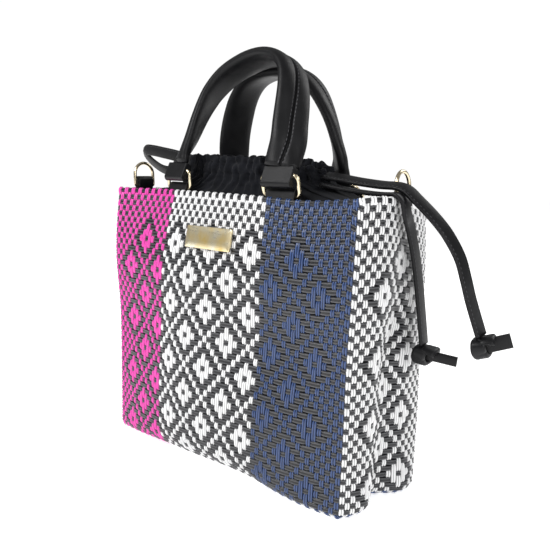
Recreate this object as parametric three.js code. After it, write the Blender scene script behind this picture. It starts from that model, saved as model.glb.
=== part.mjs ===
// Woven drawstring handbag: a hollow basket-woven tote with two leather handles on metal rings,
// a gathered cloth collar closed by a flat leather drawstring, two D-rings and a blank metal plate.
// Millimetres, +X to the bag's right, +Y to its rear, +Z up, origin under the middle on the ground.
import * as THREE from 'three';
import { LoftGeometry } from 'three/addons/geometries/LoftGeometry.js';

// Driving dimensions of the bag
const BODY_WIDTH = 280;
const BODY_DEPTH = 104;
const BODY_HEIGHT = 242;
const WALL = 2.5;
const FLOOR_CROWN = 0.5;
const CORNER_ROUND = 6;
const STRIP_STEP = 20;
const SEAT_GAP = 0.3;
const TAB_SLACK = 2.4;

// Collar
const COLLAR_CLOTH = 1.5;
const COLLAR_WIDTH = 160;
const COLLAR_DEPTH = 52;
const COLLAR_RISE = 27;
const COLLAR_CENTRE = [3, -5];
const COLLAR_SKIRT = 24;
const SKIRT_TOP = 7;
const COLLAR_FOLDS = 22;
const FOLD_HEIGHT = 2.4;

// Leather and hardware
const LEATHER = 2;
const WIRE = 3;
const BAR_PLAY = 0.3;
const RING_WIDTH = 36.5;
const RING_HEIGHT = 20;
const RING_CORNER = 3;
const TAB_WIDTH = 27;
const LOOP_WIDTH = 27.4;
const TAB_TONGUE = 24;
const LOOP_RISE = 6;
const LOOP_THICKNESS = 8;
const TAB_PLAY = 1.8;
const D_RING_WIDTH = 24;
const D_RING_HEIGHT = 24;
const D_RING_CORNER = 1.2;
const D_TAB_WIDTH = 16.5;
const D_TAB_PLAY = 5;
const PLATE_WIDTH = 53;
const PLATE_HEIGHT = 18;
const PLATE_THICKNESS = 2.2;
const PLATE_SHARE = 0.498;
const PLATE_CENTRE_HEIGHT = 203;

// Handles
const HANDLE_WIDTH = 28;
const HANDLE_THICKNESS = 11;
const HANDLE_STRAIGHT = 7;
const HANDLE_RISE = 87.5;
const FRONT_LEAN = 0.43;
const REAR_LEAN = -0.07;

// Drawstring: a flat strap, its knots and their tails
const STRAP_WIDTH = 10;
const STRAP_THICKNESS = 3;
const STRAP_STEP = 7.5;
const KNOT_LENGTH = 34;

// Corner places: x as shares of the width, y as shares of the depth, off the plain box corners
const CORNERS = [
  { level: 0, leftX: -0.022, leftY: 0.03, rightX: -0.035, rightY: 0.12, rearX: -0.018, rearY: 0 },
  { level: 0.25, leftX: -0.011, leftY: 0.012, rightX: -0.014, rightY: 0.08, rearX: -0.014, rearY: 0.03 },
  { level: 0.5, leftX: 0, leftY: -0.01, rightX: 0.003, rightY: 0.03, rearX: -0.005, rearY: -0.02 },
  { level: 0.75, leftX: 0.025, leftY: -0.09, rightX: 0.029, rightY: -0.02, rearX: 0.007, rearY: -0.055 },
  { level: 1, leftX: 0.022, leftY: -0.04, rightX: 0.02, rightY: 0.04, rearX: -0.009, rearY: -0.035 },
];

// How far each panel bows outward, as shares of the depth, at named shares along the panel
const PANELS = [
  {
    name: 'front', out: [0, -1], at: [0.15, 0.4, 0.65, 0.87],
    bow: [
      { level: 0, values: [0.08, 0.14, 0.095, 0.06] },
      { level: 0.25, values: [0.075, 0.155, 0.11, 0.06] },
      { level: 0.5, values: [0.035, 0.13, 0.03, -0.005] },
      { level: 0.75, values: [0.025, 0.07, 0.045, 0] },
      { level: 1, values: [-0.065, -0.015, 0.01, -0.03] },
    ],
    rim: { at: [0, 0.65, 0.85, 1], drop: [0.015, 0.0165, 0.0225, 0.008] },
    foot: {
      at: [0, 0.1, 0.28, 0.5, 0.65, 0.8, 0.9, 1],
      round: [0.033, 0.058, 0.107, 0.124, 0.107, 0.058, 0.033, 0.025],
    },
  },
  {
    name: 'right', out: [1, 0], at: [0.25, 0.5, 0.75],
    bow: [
      { level: 0, values: [0.09, -0.055, 0.085] },
      { level: 0.25, values: [0.055, -0.02, 0.02] },
      { level: 0.5, values: [0.08, -0.01, 0.055] },
      { level: 0.75, values: [0.095, 0.07, 0.07] },
      { level: 1, values: [0.13, 0.095, 0.07] },
    ],
    rim: { at: [0, 0.2, 0.37, 0.55, 0.71, 1], drop: [0.008, 0.0025, 0.0136, 0.029, 0.046, 0.071] },
    foot: { at: [0, 0.25, 0.5, 0.75, 1], round: [0.025, 0.05, 0.058, 0.058, 0.033] },
  },
  {
    name: 'rear', out: [0, 1], at: [0.25, 0.5, 0.75],
    bow: [
      { level: 0, values: [0.05, 0.08, 0.05] },
      { level: 0.25, values: [0.05, 0.08, 0.05] },
      { level: 0.5, values: [0.04, 0.06, 0.04] },
      { level: 0.75, values: [0, 0.02, 0] },
      { level: 1, values: [-0.05, -0.08, -0.05] },
    ],
    rim: { at: [0, 0.5, 1], drop: [0.071, 0.03, 0.02] },
    foot: { at: [0, 0.1, 0.3, 0.7, 0.9, 1], round: [0.033, 0.058, 0.099, 0.099, 0.058, 0.033] },
  },
  {
    name: 'left', out: [-1, 0], at: [0.25, 0.5, 0.75],
    bow: [
      { level: 0, values: [0.085, -0.055, 0.09] },
      { level: 0.25, values: [0.02, -0.02, 0.055] },
      { level: 0.5, values: [0.055, -0.01, 0.08] },
      { level: 0.75, values: [0.05, 0.04, 0.05] },
      { level: 1, values: [0.05, 0.05, 0.06] },
    ],
    rim: { at: [0, 0.5, 1], drop: [0.02, 0.018, 0.015] },
    foot: { at: [0, 0.5, 1], round: [0.033, 0.058, 0.033] },
  },
];

// Heights of the body's sections above its rounded foot, as shares of the rim's height
const BODY_LEVELS = [0.2, 0.32, 0.45, 0.58, 0.7, 0.82, 0.92, 1];
const FOOT_ANGLES = [90, 60, 30, 0];

// Collar's upper edge: height over its base by place along the bag, lowest at the right end
const COLLAR_TOP = { at: [-1, -0.2, 0.55, 1], share: [1.05, 0.98, 0.9, 0.62] };
// Ovals of the collar above the rim: shares of its width, depth, rise and fold height; inner face's shares of
// the cloth's thickness, inward and lower
const COLLAR_OVALS = [
  { width: 1.19, depth: 1.12, rise: 0.07, folds: 0, inward: 0.8, lower: 1 },
  { width: 1.05, depth: 1.03, rise: 0.33, folds: 0.4, inward: 1, lower: 0.4 },
  { width: 1, depth: 1, rise: 1, folds: 1, inward: 1, lower: 0 },
];

// Handle centre lines: x as shares of half the span between the feet, z as shares of the rise
const FRONT_ARCH = [
  { x: 1, z: 0 }, { x: 1, z: 0.08 }, { x: 0.983, z: 0.213 }, { x: 0.91, z: 0.386 }, { x: 0.838, z: 0.562 },
  { x: 0.764, z: 0.706 }, { x: 0.655, z: 0.839 }, { x: 0.471, z: 0.942 }, { x: 0.241, z: 0.995 },
  { x: 0.008, z: 1 },
  { x: -0.26, z: 0.961 }, { x: -0.586, z: 0.854 }, { x: -0.795, z: 0.697 }, { x: -0.874, z: 0.56 },
  { x: -0.913, z: 0.429 }, { x: -0.943, z: 0.231 }, { x: -1, z: 0.08 }, { x: -1, z: 0 },
];
const REAR_ARCH = [
  { x: 1, z: 0 }, { x: 1, z: 0.08 }, { x: 1.01, z: 0.16 }, { x: 0.955, z: 0.331 }, { x: 0.895, z: 0.468 },
  { x: 0.811, z: 0.606 }, { x: 0.677, z: 0.764 }, { x: 0.506, z: 0.879 }, { x: 0.289, z: 0.95 },
  { x: 0.023, z: 0.965 },
  { x: -0.246, z: 0.948 }, { x: -0.462, z: 0.9 }, { x: -0.62, z: 0.82 }, { x: -0.746, z: 0.708 },
  { x: -0.834, z: 0.583 }, { x: -0.92, z: 0.415 }, { x: -0.968, z: 0.269 }, { x: -1, z: 0.08 }, { x: -1, z: 0 },
];
// Turn of the handle strap from facing outward at its feet to lying across at its top
const HANDLE_TURN = {
  at: [0, 0.06, 0.2, 0.35, 0.5, 0.65, 0.8, 0.94, 1], degrees: [22, 40, 60, 80, 86, 80, 60, 40, 22] };
// Handle strap section: two rolled halves with a seam groove, shares of the half width and half thickness
const HANDLE_SECTION = [
  [1, 0], [0.83, 0.75], [0.5, 1], [0.18, 0.82], [0, 0.6], [-0.18, 0.82], [-0.5, 1], [-0.83, 0.75],
  [-1, 0], [-0.8, -0.7], [0, -0.85], [0.8, -0.7],
];
const HANDLE_STEPS = 40;

// Places of the handle rings on the rim: share along the panel, rise of the bar over the rim in millimetres,
// lean of the ring and of the strap end in degrees, slack of the strap's loop past the ring's bar
const RING_PLACES = [
  { name: 'front_right', panel: 0, share: 0.733, rise: 2, lean: -14, strap: 24, play: 5 },
  { name: 'front_left', panel: 0, share: 0.278, rise: 2, lean: -6, strap: 24, play: 5 },
  { name: 'rear_right', panel: 2, share: 0.26, rise: 5, lean: 48, strap: 2, play: 1 },
  { name: 'rear_left', panel: 2, share: 0.735, rise: 3, lean: 42, strap: -2, play: 1 },
];
const D_RING_PLACES = [
  { name: 'right', panel: 1, share: 0.6, rise: 4.5 },
  { name: 'left', panel: 3, share: 0.72, rise: 2.5 },
];

// Drawstring routes, points chosen by hand along the strap
const UPPER_STRAND = [
  [86.5, -13, 254.7], [102.6, -12.5, 253], [119.2, -12, 250.9], [138, -11, 249.2], [152, -10.3, 248.6],
  [159.5, -10, 246.2], [167.5, -10, 240.2], [177.5, -9, 231.8], [184.8, -7.5, 224.4], [189.9, -5, 217.2],
  [196.8, 0.5, 201.8], [200.3, 4, 186.8], [202.5, 8, 172.6], [206.6, 17.9, 146.5],
];
const LOWER_STRAND = [
  [88, -17, 247.8], [102.6, -17, 246], [119.2, -17, 244.2], [138, -17.2, 243], [149, -17.4, 243],
  [156.3, -17.2, 243], [161.8, -16.4, 238.4], [163, -15, 230], [161.6, -9, 222],
  [161.6, -1.5, 204], [161.6, 5, 181.7],
  [161.8, 10, 159.1], [162, 15.5, 132.5],
];
const LEFT_LOOP = [
  [-74.6, -14, 264.8], [-85, -14.5, 267], [-97.5, -15, 269.2], [-118, -14.5, 272], [-138, -13, 274.3],
  [-148, -12, 274.5],
  [-152.5, -10.5, 271.5], [-147, -8.5, 265], [-132, -5, 256.5], [-120, -2, 254.5], [-105, 2, 254],
  [-90, 5, 255.8], [-79.6, 5.6, 256.6],
];
const KNOTS = [
  { name: 'upper_knot', centre: [207.6, 20, 138.8], tail: [219, 26, 143] },
  { name: 'lower_knot', centre: [162.4, 17, 124.6], tail: [182, 24, 122.2] },
];
// Knot section sizes: place along the knot as shares of its length, half sizes as shares of the strap width
const KNOT_SHAPE = [
  { along: -0.27, wide: 0.25, thick: 0.25 }, { along: -0.22, wide: 0.62, thick: 0.5 },
  { along: -0.09, wide: 0.9, thick: 0.72 },
  { along: 0.07, wide: 0.92, thick: 0.72 }, { along: 0.2, wide: 0.64, thick: 0.46 },
  { along: 0.29, wide: 0.3, thick: 0.4 }, { along: 0.58, wide: 0.16, thick: 0.48 },
];

const COLOURS = {
  weave: { color: 0x6e6470, roughness: 0.7, metalness: 0 },
  cloth: { color: 0x1d1d20, roughness: 0.9, metalness: 0 },
  leather: { color: 0x26262a, roughness: 0.5, metalness: 0 },
  gold: { color: 0xd8c08c, roughness: 0.25, metalness: 1 },
  plate: { color: 0xcdbfa6, roughness: 0.3, metalness: 1 },
};

const UP = new THREE.Vector3(0, 0, 1);
const toRadians = THREE.MathUtils.degToRad;
const bag = new THREE.Group();

// Smooth curve through the points (xs, ys), read at x
function smooth(xs, ys, x) {
  const last = xs.length - 1;
  const slope = (i) => (ys[i + 1] - ys[i]) / (xs[i + 1] - xs[i]);
  const inner = (i) => {
    const before = xs[i] - xs[i - 1];
    const after = xs[i + 1] - xs[i];
    return (slope(i - 1) * after + slope(i) * before) / (before + after);
  };
  const tangent = (i) => {
    if (i === 0) return 1.5 * slope(0) - 0.5 * inner(1);
    if (i === last) return 1.5 * slope(last - 1) - 0.5 * inner(last - 1);
    return inner(i);
  };
  let k = 0;
  while (k < last - 1 && x >= xs[k + 1]) k += 1;
  const span = xs[k + 1] - xs[k];
  const t = (x - xs[k]) / span;
  const t2 = t * t;
  const t3 = t2 * t;
  return (2 * t3 - 3 * t2 + 1) * ys[k] + (t3 - 2 * t2 + t) * span * tangent(k)
    + (3 * t2 - 2 * t3) * ys[k + 1] + (t3 - t2) * span * tangent(k + 1);
}

function column(rows, key, level) {
  return smooth(rows.map((row) => row.level), rows.map((row) => row[key]), level);
}

// The four corners of the outline at a level, counterclockwise from the front left
function cornerPoint(index, level) {
  const x = BODY_WIDTH / 2;
  const y = BODY_DEPTH / 2;
  const at = (key, size) => column(CORNERS, key, level) * size;
  const places = [
    () => [-x + at('leftX', BODY_WIDTH), -y + at('leftY', BODY_DEPTH)],
    () => [x + at('rightX', BODY_WIDTH), -y + at('rightY', BODY_DEPTH)],
    () => [x + at('rearX', BODY_WIDTH), y + at('rearY', BODY_DEPTH)],
    () => [-x + at('leftX', BODY_WIDTH), y],
  ];
  return new THREE.Vector2(...places[index % 4]());
}

function panelPoint(index, share, level) {
  const panel = PANELS[index];
  const start = cornerPoint(index, level);
  const end = cornerPoint(index + 1, level);
  const levels = panel.bow.map((row) => row.level);
  const bows = panel.at.map((_, k) => smooth(levels, panel.bow.map((row) => row.values[k]), level));
  const bow = smooth([0, ...panel.at, 1], [0, ...bows, 0], share) * BODY_DEPTH;
  return start.lerp(end, share).add(new THREE.Vector2(...panel.out).multiplyScalar(bow));
}

function panelLength(index) {
  return index % 2 === 0 ? BODY_WIDTH : BODY_DEPTH;
}

// Outline with rounded corners: place is the panel's index plus the share along it
function outline(place, level) {
  const index = Math.floor(place) % 4;
  const share = place - Math.floor(place);
  const length = panelLength(index);
  const bend = (before, t) => {
    const after = (before + 1) % 4;
    const from = panelPoint(before, 1 - CORNER_ROUND / panelLength(before), level);
    const corner = cornerPoint(after, level);
    const to = panelPoint(after, CORNER_ROUND / panelLength(after), level);
    return from.multiplyScalar((1 - t) ** 2)
      .addScaledVector(corner, 2 * t * (1 - t)).addScaledVector(to, t * t);
  };
  if (share * length < CORNER_ROUND) return bend((index + 3) % 4, 0.5 + 0.5 * (share * length) / CORNER_ROUND);
  if ((1 - share) * length < CORNER_ROUND) return bend(index, 0.5 - 0.5 * ((1 - share) * length) / CORNER_ROUND);
  return panelPoint(index, share, level);
}

// Step round the outline over which the wall's direction is measured
const NORMAL_STEP = 0.004;

// Point at a height, set inward from the outer surface
function wallPoint(place, z, inset) {
  const level = THREE.MathUtils.clamp(z / BODY_HEIGHT, 0, 1);
  const point = outline(place, level);
  if (inset !== 0) {
    const before = outline((place - NORMAL_STEP + 4) % 4, level);
    const along = outline((place + NORMAL_STEP) % 4, level).sub(before).normalize();
    point.add(new THREE.Vector2(-along.y, along.x).multiplyScalar(inset));
  }
  return new THREE.Vector3(point.x, point.y, z);
}

function rimHeight(place) {
  const panel = PANELS[Math.floor(place) % 4];
  return BODY_HEIGHT * (1 - smooth(panel.rim.at, panel.rim.drop, place - Math.floor(place)));
}

function footRadius(place) {
  const panel = PANELS[Math.floor(place) % 4];
  return BODY_HEIGHT * smooth(panel.foot.at, panel.foot.round, place - Math.floor(place));
}

function addMesh(name, geometry, look, matrix) {
  const mesh = new THREE.Mesh(geometry, new THREE.MeshStandardMaterial(COLOURS[look]));
  mesh.name = name;
  if (matrix) {
    mesh.matrixAutoUpdate = false;
    mesh.matrix.copy(matrix);
  }
  bag.add(mesh);
}

// Places round the outline: the rounded corners and even steps along each panel
function bodyPlaces() {
  const places = [];
  for (let index = 0; index < 4; index += 1) {
    const length = panelLength(index);
    const round = CORNER_ROUND / length;
    const spacing = index % 2 === 0 ? STRIP_STEP : STRIP_STEP / 2;
    const steps = Math.max(3, Math.round((length - 2 * CORNER_ROUND) / spacing));
    places.push(index);
    for (let k = 0; k <= steps; k += 1) places.push(index + round + (1 - 2 * round) * (k / steps));
  }
  return places;
}

function wovenBody() {
  const places = bodyPlaces();
  const foot = (degrees, wall) => places.map((place) => {
    const radius = footRadius(place);
    const angle = toRadians(degrees);
    const inset = radius * (1 - Math.cos(angle)) + wall * Math.cos(angle);
    const outer = radius * (1 - Math.sin(angle));
    const point = wallPoint(place, outer, inset);
    point.z = outer + wall * Math.sin(angle);
    return point;
  });
  const wallRing = (share, inset) => places.map((place) => wallPoint(place, share * rimHeight(place), inset));
  const sections = [
    ...FOOT_ANGLES.map((degrees) => foot(degrees, 0)),
    ...BODY_LEVELS.map((share) => wallRing(share, 0)),
    ...[...BODY_LEVELS].reverse().map((share) => wallRing(share, WALL)),
    ...[...FOOT_ANGLES].reverse().map((degrees) => foot(degrees, WALL)),
  ];
  // the inner floor rises slightly toward its middle
  const middle = new THREE.Vector3(0, 0, WALL + FLOOR_CROWN);
  sections.push(sections.at(-1).map((point) => point.clone().lerp(middle, 0.5).setZ(middle.z)));
  addMesh('woven_body', new LoftGeometry(sections, { closed: true, capStart: true, capEnd: true }), 'weave');
}

// Inset of the collar's skirt: clear of the leather tabs sewn inside the wall
const COLLAR_INSET = WALL + 2 * LEATHER + TAB_SLACK;

function gatheredCollar() {
  const perFold = 4;
  const count = perFold * COLLAR_FOLDS;
  const longPanel = Math.round((count / 2) * (BODY_WIDTH / (BODY_WIDTH + BODY_DEPTH)));
  const panelCounts = [longPanel, count / 2 - longPanel, longPanel, count / 2 - longPanel];
  const places = panelCounts.flatMap((n, index) => Array.from({ length: n }, (_, k) => index + k / n));
  const centre = new THREE.Vector2(...COLLAR_CENTRE);
  const angles = places.map((place) => {
    const point = outline(place, 0.9).sub(centre);
    return Math.atan2(point.y / BODY_DEPTH, point.x / BODY_WIDTH);
  });
  const skirt = (below, cloth) => places
    .map((place) => wallPoint(place, rimHeight(place) - below, COLLAR_INSET + cloth));
  const oval = (row, cloth) => angles.map((angle, k) => {
    const edge = smooth(COLLAR_TOP.at, COLLAR_TOP.share, Math.cos(angle));
    const fold = row.folds * FOLD_HEIGHT * Math.sin((2 * Math.PI * k) / perFold);
    const wide = (COLLAR_WIDTH / 2) * row.width + fold - cloth * row.inward;
    const deep = (COLLAR_DEPTH / 2) * row.depth + fold - cloth * row.inward;
    const z = BODY_HEIGHT + COLLAR_RISE * row.rise * edge - cloth * row.lower;
    return new THREE.Vector3(centre.x + wide * Math.cos(angle), centre.y + deep * Math.sin(angle), z);
  });
  const sections = [
    skirt(COLLAR_SKIRT, 0), skirt(SKIRT_TOP, 0), ...COLLAR_OVALS.map((row) => oval(row, 0)),
    ...[...COLLAR_OVALS].reverse().map((row) => oval(row, COLLAR_CLOTH)),
    skirt(SKIRT_TOP + COLLAR_CLOTH, COLLAR_CLOTH), skirt(COLLAR_SKIRT, COLLAR_CLOTH),
  ];
  sections.push(sections[0].map((point) => point.clone()));
  const clothLoft = new LoftGeometry(sections, { closed: true, capStart: false, capEnd: false });
  addMesh('gathered_collar', clothLoft, 'cloth');
}

// Frame on the wall's inner face under the rim: X along the rim, Y inward, Z up the wall
function innerFrame(panel, share, width, depth) {
  const half = width / 2 / panelLength(panel);
  const place = panel + share;
  const at = (side, below) => wallPoint(place + side * half, rimHeight(place) - below, WALL);
  const along = at(1, 0).sub(at(-1, 0)).normalize();
  const upward = at(0, 0).sub(at(0, depth)).normalize();
  upward.addScaledVector(along, -upward.dot(along)).normalize();
  const inward = new THREE.Vector3().crossVectors(upward, along);
  const origin = at(0, 0);
  let most = 0;
  for (const side of [-1, -0.5, 0, 0.5, 1]) {
    for (const below of [0, depth / 2, depth]) most = Math.max(most, at(side, below).sub(origin).dot(inward));
  }
  origin.addScaledVector(inward, most + SEAT_GAP);
  return new THREE.Matrix4().makeBasis(along, inward, upward).setPosition(origin);
}

const HOLE_RADIUS = WIRE / 2 + BAR_PLAY;
const HEAD_RADIUS = HOLE_RADIUS + LEATHER;
// Where a wrap's head runs into its flat tongue: shares of the head's radius and of the tongue's length
const SHOULDER_SHARE = 1.6;
const SHOULDER_LIMIT = 0.7;

// Stitched leather loop about a bar at its origin: a round head past the bar by the play, faces at near
// and far, tongue to end
function wrapGeometry(width, near, far, end, play) {
  const side = Math.sign(end);
  const shoulder = side * Math.min(HEAD_RADIUS * SHOULDER_SHARE, Math.abs(end) * SHOULDER_LIMIT);
  const points = [new THREE.Vector2(near, end)];
  if (near < -HEAD_RADIUS) points.push(new THREE.Vector2(near, shoulder), new THREE.Vector2(-HEAD_RADIUS, 0));
  for (let k = 0; k <= 8; k += 1) {
    const angle = Math.PI - (Math.PI * k) / 8;
    const rise = HEAD_RADIUS * Math.sin(angle) + play;
    points.push(new THREE.Vector2(HEAD_RADIUS * Math.cos(angle), -side * rise));
  }
  points.push(new THREE.Vector2(HEAD_RADIUS, 0), new THREE.Vector2(far, shoulder), new THREE.Vector2(far, end));
  if (THREE.ShapeUtils.isClockWise(points)) points.reverse();
  const shape = new THREE.Shape(points);
  const holePoints = Array.from({ length: 12 }, (_, k) => {
    const angle = (2 * Math.PI * (k + 0.5)) / 12;
    const shift = k < 6 ? 0 : -side * play;
    return new THREE.Vector2(HOLE_RADIUS * Math.cos(angle), side * HOLE_RADIUS * Math.sin(angle) + shift);
  });
  if (!THREE.ShapeUtils.isClockWise(holePoints)) holePoints.reverse();
  shape.holes.push(new THREE.Path(holePoints));
  const geometry = new THREE.ExtrudeGeometry(shape, { depth: width, bevelEnabled: false });
  geometry.translate(0, 0, -width / 2);
  // shape x, y and depth become the frame's Y, Z and X
  return geometry.applyMatrix4(new THREE.Matrix4().makeBasis(
    new THREE.Vector3(0, 1, 0), new THREE.Vector3(0, 0, 1), new THREE.Vector3(1, 0, 0),
  ));
}

// Closed round wire along a flat outline of points in the frame's X and Z
function wireGeometry(points) {
  const sides = 8;
  const sections = points.map((point, k) => {
    const before = points[(k + points.length - 1) % points.length];
    const after = points[(k + 1) % points.length];
    const along = after.clone().sub(before).normalize();
    const outward = new THREE.Vector2(along.y, -along.x);
    return Array.from({ length: sides }, (_, n) => {
      const angle = (2 * Math.PI * (n + 0.5)) / sides;
      const out = (WIRE / 2) * Math.cos(angle);
      return new THREE.Vector3(point.x + outward.x * out, (WIRE / 2) * Math.sin(angle), point.y + outward.y * out);
    });
  });
  sections.push(sections[0].map((point) => point.clone()));
  return new LoftGeometry(sections, { closed: true, capStart: false, capEnd: false });
}

// Rounded rectangle of wire centres, counterclockwise, its lower bar on Z = 0
function ringOutline() {
  const halfWidth = (RING_WIDTH - WIRE) / 2;
  const height = RING_HEIGHT - WIRE;
  const centres = [
    [halfWidth - RING_CORNER, RING_CORNER, -90], [halfWidth - RING_CORNER, height - RING_CORNER, 0],
    [-halfWidth + RING_CORNER, height - RING_CORNER, 90], [-halfWidth + RING_CORNER, RING_CORNER, 180],
  ];
  return centres.flatMap(([x, y, start]) => [0, 30, 60, 90].map((turn) => {
    const angle = toRadians(start + turn);
    return new THREE.Vector2(x + RING_CORNER * Math.cos(angle), y + RING_CORNER * Math.sin(angle));
  }));
}

// D of wire centres, its straight bar on Z = 0
function dOutline() {
  const radius = (D_RING_WIDTH - WIRE) / 2;
  const straight = D_RING_HEIGHT - WIRE - radius;
  const points = [
    new THREE.Vector2(-radius + D_RING_CORNER, 0), new THREE.Vector2(radius - D_RING_CORNER, 0),
    new THREE.Vector2(radius, D_RING_CORNER),
  ];
  for (let k = 0; k <= 12; k += 1) {
    const angle = (Math.PI * k) / 12;
    points.push(new THREE.Vector2(radius * Math.cos(angle), straight + radius * Math.sin(angle)));
  }
  points.push(new THREE.Vector2(-radius, D_RING_CORNER));
  return points;
}

// One handle end: tab inside the wall, ring in its head, leather loop on the ring's upper bar
function handleFastening(place) {
  const frame = innerFrame(place.panel, place.share, TAB_WIDTH, TAB_TONGUE);
  const head = new THREE.Matrix4().makeTranslation(0, HEAD_RADIUS, place.rise);
  const barFrame = frame.clone().multiply(head);
  const tabFar = -HEAD_RADIUS + 2 * LEATHER;
  const tab = wrapGeometry(TAB_WIDTH, -HEAD_RADIUS, tabFar, -TAB_TONGUE - place.rise, TAB_PLAY);
  addMesh(`handle_tab_${place.name}`, tab, 'leather', barFrame);

  const along = new THREE.Vector3().setFromMatrixColumn(barFrame, 0);
  const facing = place.panel === 0 ? 1 : -1;
  // direction in the plane square to the bar, leaning toward the rear by the given degrees
  const leaning = (degrees) => {
    const rear = new THREE.Vector3(0, 1, 0).addScaledVector(along, -along.y).normalize();
    const angle = toRadians(degrees);
    const up = new THREE.Vector3().crossVectors(along, rear).normalize();
    if (up.z < 0) up.negate();
    return up.multiplyScalar(Math.cos(angle)).addScaledVector(rear, Math.sin(angle)).normalize();
  };
  const basis = (upward, origin) => new THREE.Matrix4()
    .makeBasis(along, new THREE.Vector3().crossVectors(upward, along), upward).setPosition(origin);
  const lower = new THREE.Vector3().setFromMatrixPosition(barFrame);
  const ringUp = leaning(facing * place.lean);
  addMesh(`handle_ring_${place.name}`, wireGeometry(ringOutline()), 'gold', basis(ringUp, lower));

  const upper = lower.clone().addScaledVector(ringUp, RING_HEIGHT - WIRE);
  const strapUp = leaning(place.strap);
  const loop = wrapGeometry(LOOP_WIDTH, -LOOP_THICKNESS / 2, LOOP_THICKNESS / 2, LOOP_RISE, place.play);
  addMesh(`handle_loop_${place.name}`, loop, 'leather', basis(strapUp, upper));
  const foot = upper.clone().addScaledVector(strapUp, LOOP_RISE + SEAT_GAP);
  return { foot, upward: strapUp };
}

// Flat rolled strap from foot to foot along an arch in a leaning plane
function handle(name, right, left, arch, lean) {
  const middle = right.foot.clone().add(left.foot).multiplyScalar(0.5);
  const half = right.foot.x - middle.x;
  const points = arch.map((row) => {
    const foot = left.foot.clone().lerp(right.foot, (row.x + 1) / 2);
    const rise = row.z * HANDLE_RISE;
    return new THREE.Vector3(middle.x + row.x * half, foot.y + lean * rise, foot.z + rise);
  });
  points[1] = right.foot.clone().addScaledVector(right.upward, HANDLE_STRAIGHT);
  points[points.length - 2] = left.foot.clone().addScaledVector(left.upward, HANDLE_STRAIGHT);
  const curve = new THREE.CatmullRomCurve3(points, false, 'centripetal');
  const outward = new THREE.Vector3(0, -1, lean).normalize().multiplyScalar(lean > 0 ? 1 : -1);
  const sections = [];
  for (let k = 0; k <= HANDLE_STEPS; k += 1) {
    const share = k / HANDLE_STEPS;
    const centre = curve.getPointAt(share);
    let along = curve.getTangentAt(share);
    if (k === 0) along = right.upward.clone();
    if (k === HANDLE_STEPS) along = left.upward.clone().negate();
    const turn = toRadians(smooth(HANDLE_TURN.at, HANDLE_TURN.degrees, share));
    const rising = new THREE.Vector3().crossVectors(outward, along).normalize();
    if (rising.dot(centre.clone().sub(middle)) < 0) rising.negate();
    const face = outward.clone().multiplyScalar(Math.cos(turn)).addScaledVector(rising, Math.sin(turn));
    face.addScaledVector(along, -face.dot(along)).normalize();
    const wide = new THREE.Vector3().crossVectors(face, along).normalize();
    sections.push(HANDLE_SECTION.map(([u, v]) => centre.clone()
      .addScaledVector(wide, (u * HANDLE_WIDTH) / 2).addScaledVector(face, (v * HANDLE_THICKNESS) / 2)));
  }
  addMesh(name, new LoftGeometry(sections, { closed: true, capStart: true, capEnd: true }), 'leather');
}

function dRing(place) {
  const frame = innerFrame(place.panel, place.share, D_TAB_WIDTH, TAB_TONGUE);
  const barFrame = frame.clone().multiply(new THREE.Matrix4().makeTranslation(0, HEAD_RADIUS, place.rise));
  const tabFar = -HEAD_RADIUS + 2 * LEATHER;
  const tab = wrapGeometry(D_TAB_WIDTH, -HEAD_RADIUS, tabFar, -TAB_TONGUE - place.rise, D_TAB_PLAY);
  addMesh(`d_ring_tab_${place.name}`, tab, 'leather', barFrame);
  addMesh(`d_ring_${place.name}`, wireGeometry(dOutline()), 'gold', barFrame);
}

// Blank plate lying on the front weave
function metalPlate() {
  const half = PLATE_WIDTH / 2 / BODY_WIDTH;
  const at = (side, up) => wallPoint(PLATE_SHARE + side * half, PLATE_CENTRE_HEIGHT + (up * PLATE_HEIGHT) / 2, 0);
  const along = at(1, 0).sub(at(-1, 0)).normalize();
  const upward = at(0, 1).sub(at(0, -1)).normalize();
  upward.addScaledVector(along, -upward.dot(along)).normalize();
  const inward = new THREE.Vector3().crossVectors(upward, along);
  const origin = at(0, 0);
  let least = 0;
  for (const side of [-1, -0.5, 0, 0.5, 1]) {
    for (const up of [-1, 0, 1]) least = Math.min(least, at(side, up).sub(origin).dot(inward));
  }
  origin.addScaledVector(inward, least - SEAT_GAP - PLATE_THICKNESS / 2);
  const geometry = new THREE.BoxGeometry(PLATE_WIDTH, PLATE_THICKNESS, PLATE_HEIGHT);
  const frame = new THREE.Matrix4().makeBasis(along, inward, upward).setPosition(origin);
  addMesh('metal_plate', geometry, 'plate', frame);
}

// Flat drawstring strap along a route, its section turned about the route by the given degrees
function strap(name, route, degrees) {
  const curve = new THREE.CatmullRomCurve3(route.map((point) => new THREE.Vector3(...point)), false, 'centripetal');
  const wide = STRAP_WIDTH / 2;
  const thick = STRAP_THICKNESS / 2;
  const corners = [
    [wide, -thick / 2], [wide, thick / 2], [wide - thick / 2, thick], [-wide + thick / 2, thick],
    [-wide, thick / 2], [-wide, -thick / 2], [-wide + thick / 2, -thick], [wide - thick / 2, -thick],
  ];
  const turn = toRadians(degrees);
  const middle = new THREE.Vector2();
  const shape = new THREE.Shape(corners.map(([x, y]) => new THREE.Vector2(x, y).rotateAround(middle, turn)));
  const steps = Math.ceil(curve.getLength() / STRAP_STEP);
  const geometry = new THREE.ExtrudeGeometry(shape, { steps, extrudePath: curve, bevelEnabled: false });
  addMesh(name, geometry, 'leather');
}

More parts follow.
